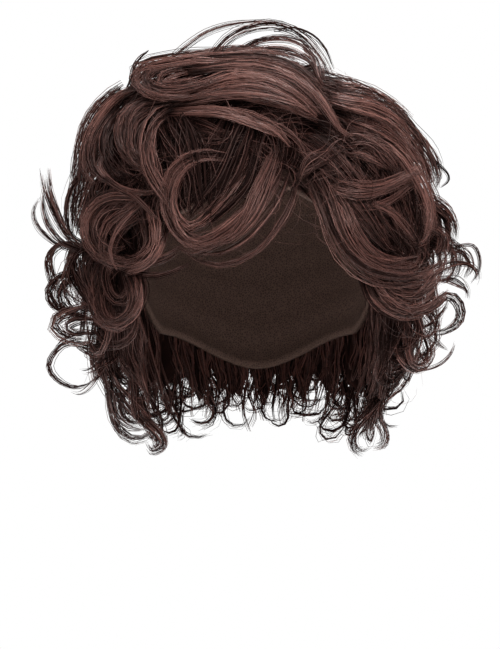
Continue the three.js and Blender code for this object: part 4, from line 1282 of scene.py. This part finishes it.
def zone_lift(name, around, polar):
    """Lift of a zone's outside at angles around and down."""
    thickness, first, last = ZONES[name]
    if name == "crown_hair":
        forward = np.maximum(0, np.cos(np.radians(around)))
        share = 1 - forward * (1 - ease((polar_at(CROWN_DROP) - polar) / EDGE_FADE))
    else:
        share = ease((edge_polar(around, HAIR_DROP) - polar) / EDGE_FADE)
        if name == "right_side_hair":
            share = np.minimum(share, ease((around - first) / EDGE_FADE))
        if name == "left_side_hair":
            share = np.minimum(share, ease((last - around) / EDGE_FADE))
    return HAIR_FLOOR + HAIR_EDGE + (thickness - HAIR_EDGE) * share


def zone_span(name, around):
    """The polar angles between which a zone lies."""
    crown = polar_at(CROWN_DROP)
    if name == "crown_hair":
        return np.full_like(around, CROWN_POLE), np.full_like(around, crown)
    return np.full_like(around, crown + ZONE_GAP), edge_polar(around, HAIR_DROP)


def shell_object(name, outer, inner, wraps, grain, material):
    """A closed shell between two grids of points, around by down."""
    count, rows, _ = outer.shape
    size = count * rows
    index = np.arange(size).reshape(count, rows)
    here = index if wraps else index[:-1]
    there = np.roll(index, -1, axis=0) if wraps else index[1:]
    skin = np.stack([here[:, :-1], here[:, 1:], there[:, 1:], there[:, :-1]], -1).reshape(-1, 4)
    foot = np.stack([here[:, -1], here[:, -1] + size, there[:, -1] + size, there[:, -1]], -1)
    top = np.stack([there[:, 0], there[:, 0] + size, here[:, 0] + size, here[:, 0]], -1)
    faces = [skin, skin[:, ::-1] + size, foot, top]
    if not wraps:
        first, last = index[0], index[-1]
        faces.append(np.stack([first[1:], first[:-1], first[:-1] + size, first[1:] + size], -1))
        faces.append(np.stack([last[:-1], last[1:], last[1:] + size, last[:-1] + size], -1))
    points = np.concatenate([outer.reshape(-1, 3), inner.reshape(-1, 3)])
    mesh = bpy.data.meshes.new(name)
    mesh.from_pydata((points * MM).tolist(), [], np.concatenate(faces).tolist())
    mesh.polygons.foreach_set("use_smooth", np.ones(len(mesh.polygons), bool))
    # The mass's low tint is painted shade.
    set_attributes(mesh, np.full(2 * size, MASS_PAINTED_SHADE), np.concatenate([grain.reshape(-1, 3)] * 2))
    return add_object(name, mesh, material)


def zone_mass(name, material):
    """The dense mass next to the cap, seen only in the gaps between curls and dark with painted shade."""
    _, first, last = ZONES[name]
    wraps = name == "crown_hair"
    around = np.linspace(first, last, MASS_COLUMNS, endpoint=not wraps)
    top, foot = zone_span(name, around)
    share = np.linspace(0, 1, MASS_ROWS)
    uneven = sum(np.sin(np.radians(around * cycles)) for cycles in MASS_EDGE_WAVES)
    length = np.ones_like(around) if wraps else MASS_LENGTH + MASS_UNEVENNESS * uneven
    polar = top[:, None] + ((foot - top) * length)[:, None] * share
    around = around[:, None]
    lift = zone_lift(name, around, polar)
    relief = sum(np.sin(np.radians(around * cycles) + down * share) for cycles, down in MASS_WAVES)
    outer = HAIR_FLOOR + (lift - HAIR_FLOOR) * (MASS_HEIGHT + MASS_RELIEF * relief)
    cycles, down = MASS_GRAIN_WAVES
    waves = around + MASS_GRAIN_SWAY * np.sin(down * share + np.radians(cycles * around))
    return shell_object(
        f"{name}_mass",
        over_head(around, polar, outer, FORM_POWER),
        over_head(around, polar, np.full_like(lift, HAIR_FLOOR), 2),
        wraps,
        np.stack(np.broadcast_arrays(waves, 0 * share, MASS_GRAIN_ALONG * share), -1),
        material,
    )


def hanging_groups(name, rng):
    """Wavy strands that hang below the cap's edge, on the inside of a zone."""
    _, first, last = ZONES[name]
    count, each = HANGING[name], HANGING_STRANDS
    many = count * each
    even = (np.arange(count) + rng.random(count)) / count
    tuft = first + HANGING_MARGIN + (last - first - 2 * HANGING_MARGIN) * even
    around = np.repeat(tuft, each) + rng.normal(0, HANGING_SPREAD, many)
    begin = edge_polar(around, CAP_DROP) - HANGING_START
    end = edge_polar(around, HAIR_DROP) + np.repeat(rng.uniform(*HANGING_ENDS, count), each)
    share = np.linspace(0, 1, HANGING_STATIONS)
    polar = begin[:, None] + (end - begin)[:, None] * share
    lift = rng.uniform(*HANGING_LIFTS, many)[:, None] * np.ones_like(share)
    paths = over_head(around[:, None], polar, lift, 2)
    facing = unit(paths - HEAD_CENTRE)
    size = np.repeat(rng.uniform(*HANGING_RIPPLES, count), each)
    phase = np.repeat(rng.uniform(*HANGING_PHASES, count), each) + rng.normal(0, HANGING_PHASE, many)
    cycles = np.repeat(rng.uniform(*HANGING_CYCLES, count), each)
    paths = rippled(paths, facing, size, phase, cycles)
    tint = np.clip(HANGING_TINT + rng.normal(0, HANGING_TINT_SPREAD, many), HANGING_DARKEST, 1)
    return [strand_tubes(paths, facing, np.full(many, HANGING_SIZE * STRAND_RADIUS), tint[:, None], rng)]


def zone_groups(name, rng):
    """A zone's loose curls, and the strands that hang inside it."""
    groups = [group for row in FILLS[name] for group in fill_groups(row, rng)]
    if HANGING[name]:
        groups += hanging_groups(name, rng)
    return groups


# Cap


def cap_object(material):
    """The cap: a thin shell with sewn rows inside and a bound edge."""
    around = np.linspace(0, 360, CAP_COLUMNS, endpoint=False)[:, None]
    share = np.linspace(CAP_POLE, 1, CAP_ROWS)
    polar = edge_polar(around, CAP_DROP) * share
    row = np.abs((share * SEWN_ROWS) % 1 - 0.5) * 2
    ridge = SEWN_RIDGE * ease((row - SEWN_START) / (1 - SEWN_START))
    binding = BINDING_THICKNESS * ease((share - BINDING_START) / BINDING_RISE)
    inner = over_head(around, polar, -ridge - binding, 2)
    outer = over_head(around, polar, CAP_WALL + binding, 2)
    loops = np.concatenate([outer, inner[:, ::-1]], axis=1)
    count, size, _ = loops.shape
    index = np.arange(count * size).reshape(count, size)
    after = np.roll(index, -1, axis=0)
    walls = np.stack([index[:, :-1], index[:, 1:], after[:, 1:], after[:, :-1]], -1).reshape(-1, 4)
    faces = walls.tolist() + [index[::-1, 0].tolist(), index[:, -1].tolist()]
    mesh = bpy.data.meshes.new("cap")
    mesh.from_pydata((loops.reshape(-1, 3) * MM).tolist(), [], faces)
    mesh.polygons.foreach_set("use_smooth", np.ones(len(faces), bool))
    return add_object("cap", mesh, material)


# Materials


def srgb(red, green, blue):
    """A colour given as it shows on a screen, from 0 to 255."""
    share = np.array([red, green, blue]) / 255
    linear = np.where(share <= 0.04045, share / 12.92, ((share + 0.055) / 1.055) ** 2.4)
    return (*linear, 1.0)


def new_material(name):
    """A material with its nodes, links and shader."""
    material = bpy.data.materials.new(name)
    material.use_nodes = True
    tree = material.node_tree
    return material, tree.nodes, tree.links, tree.nodes["Principled BSDF"]


def attribute(nodes, name):
    """A node that reads a point attribute of the hair."""
    node = nodes.new("ShaderNodeAttribute")
    node.attribute_name = name
    return node


def ranged(nodes, links, value, given, result):
    """A value moved from the span given to the span result."""
    node = nodes.new("ShaderNodeMapRange")
    for socket, number in zip(("From Min", "From Max", "To Min", "To Max"), (*given, *result)):
        node.inputs[socket].default_value = number
    links.new(value, node.inputs["Value"])
    return node.outputs["Result"]


def ramp_colour(nodes, links, value, shades):
    """The colour that a value has in a row of shades."""
    ramp = nodes.new("ShaderNodeValToRGB")
    links.new(value, ramp.inputs["Fac"])
    stops = ramp.color_ramp.elements
    for stop, (position, colour) in zip(stops, (shades[0], shades[-1])):
        stop.position = position
        stop.color = srgb(*colour)
    for position, colour in shades[1:-1]:
        stops.new(position).color = srgb(*colour)
    return ramp.outputs["Color"]


def add_bump(nodes, links, shader, height, strength, distance, invert=False):
    bump = nodes.new("ShaderNodeBump")
    bump.invert = invert
    bump.inputs["Strength"].default_value = strength
    bump.inputs["Distance"].default_value = distance
    links.new(height, bump.inputs["Height"])
    links.new(bump.outputs["Normal"], shader.inputs["Normal"])


def hair_material(name, shades, gloss):
    """Fibre whose shade follows each strand's tint and a streaky grain. Without gloss it is dull all over."""
    material, nodes, links, shader = new_material(name)
    tint = attribute(nodes, "tint").outputs["Fac"]
    noise = nodes.new("ShaderNodeTexNoise")
    noise.inputs["Scale"].default_value = 1.0
    noise.inputs["Detail"].default_value = GRAIN_DETAIL
    links.new(attribute(nodes, "grain").outputs["Vector"], noise.inputs["Vector"])
    grain = noise.outputs["Fac"]
    added = nodes.new("ShaderNodeMath")
    added.operation = "ADD"
    links.new(tint, added.inputs[0])
    links.new(ranged(nodes, links, grain, GRAIN_SPAN, STREAK), added.inputs[1])
    shade = added.outputs["Value"]
    links.new(ramp_colour(nodes, links, shade, shades), shader.inputs["Base Color"])
    links.new(ranged(nodes, links, shade, ROUGH_SHADES, ROUGHNESS), shader.inputs["Roughness"])
    shader.inputs["Specular Tint"].default_value = GLOSS_TINT
    shader.inputs["Specular IOR Level"].default_value = 0.0
    if gloss:
        sheen = ranged(nodes, links, tint, GLOSS_TINTS, (0.0, gloss))
        links.new(sheen, shader.inputs["Specular IOR Level"])
    add_bump(nodes, links, shader, grain, *HAIR_BUMP)
    return material


def net_material():
    """A fine stretch net, dark brown, with a woven bump."""
    material, nodes, links, shader = new_material("cap_net")
    shader.inputs["Roughness"].default_value = NET_ROUGHNESS
    shader.inputs["Specular IOR Level"].default_value = NET_GLOSS
    place = nodes.new("ShaderNodeTexCoord")
    cells = nodes.new("ShaderNodeTexVoronoi")
    cells.feature = "DISTANCE_TO_EDGE"
    cells.inputs["Scale"].default_value = NET_SCALE
    links.new(place.outputs["Object"], cells.inputs["Vector"])
    distance = cells.outputs["Distance"]
    links.new(ramp_colour(nodes, links, distance, NET_SHADES), shader.inputs["Base Color"])
    add_bump(nodes, links, shader, distance, *NET_BUMP, invert=True)
    return material


def stage_material():
    material, _, _, shader = new_material("pale_floor")
    shader.inputs["Base Color"].default_value = FLOOR_COLOUR
    shader.inputs["Roughness"].default_value = FLOOR_ROUGHNESS
    return material


# Scene


def add_camera():
    """A long lens at the photograph's viewing angle and framing."""
    camera = bpy.data.cameras.new("camera")
    camera.sensor_width = SENSOR_WIDTH
    camera.lens = LENS
    camera.clip_end = SIGHT
    holder = bpy.data.objects.new("camera", camera)
    holder.location = EYE * MM
    holder.rotation_euler = (np.pi / 2, 0, 0)
    bpy.context.scene.collection.objects.link(holder)
    bpy.context.scene.camera = holder


def add_light(name, place, aim, size, power):
    light = bpy.data.lights.new(name, "AREA")
    light.shape = "DISK"
    light.size = size
    light.energy = power
    holder = bpy.data.objects.new(name, light)
    holder.location = place
    way = np.array(aim) - np.array(place)
    holder.rotation_euler = (np.arctan2(np.hypot(way[0], way[1]), -way[2]), 0, np.arctan2(-way[0], way[1]))
    bpy.context.scene.collection.objects.link(holder)


def add_world():
    """A white surround that lights the wig softly."""
    world = bpy.data.worlds.new("studio")
    bpy.context.scene.world = world
    world.use_nodes = True
    nodes, links = world.node_tree.nodes, world.node_tree.links
    light = nodes["Background"]
    light.inputs["Color"].default_value = (1, 1, 1, 1)
    light.inputs["Strength"].default_value = AMBIENT
    backdrop = nodes.new("ShaderNodeBackground")
    backdrop.inputs["Color"].default_value = (1, 1, 1, 1)
    path = nodes.new("ShaderNodeLightPath")
    mix = nodes.new("ShaderNodeMixShader")
    links.new(path.outputs["Is Camera Ray"], mix.inputs[0])
    links.new(light.outputs[0], mix.inputs[1])
    links.new(backdrop.outputs[0], mix.inputs[2])
    links.new(mix.outputs[0], nodes["World Output"].inputs["Surface"])


def add_floor():
    bpy.ops.mesh.primitive_circle_add(
        vertices=FLOOR_SIDES, radius=FLOOR_RADIUS, fill_type="NGON", location=(0, 0, FLOOR_LEVEL)
    )
    floor = bpy.context.object
    floor.name = "floor"
    floor.data.materials.append(stage_material())


def add_studio():
    add_world()
    bpy.context.scene.view_settings.view_transform = "Standard"
    for lamp in LAMPS:
        add_light(*lamp)
    add_floor()


def add_piece(piece, node):
    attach(piece, "root")
    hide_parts(node)


add_camera()
rng = np.random.default_rng(SEED)
hair = hair_material("auburn_hair", HAIR_SHADES, HAIR_GLOSS)
# The under-hair is a darker copy of the hair: painted shade of the depth it lies at.
under_hair = hair_material("painted_shade_under_hair", UNDER_HAIR_PAINTED_SHADES, 0.0)
add_piece(cap_object(net_material()), "wig_cap")
for zone in ZONES:
    add_piece(zone_mass(zone, under_hair), zone)
    add_piece(hair_object(f"{zone}_strands", zone_groups(zone, rng), hair), zone)
for name, groups in (*front_locks(rng), *tier_locks(rng)):
    add_piece(hair_object(f"{name}_strands", groups, hair), name)
add_studio()
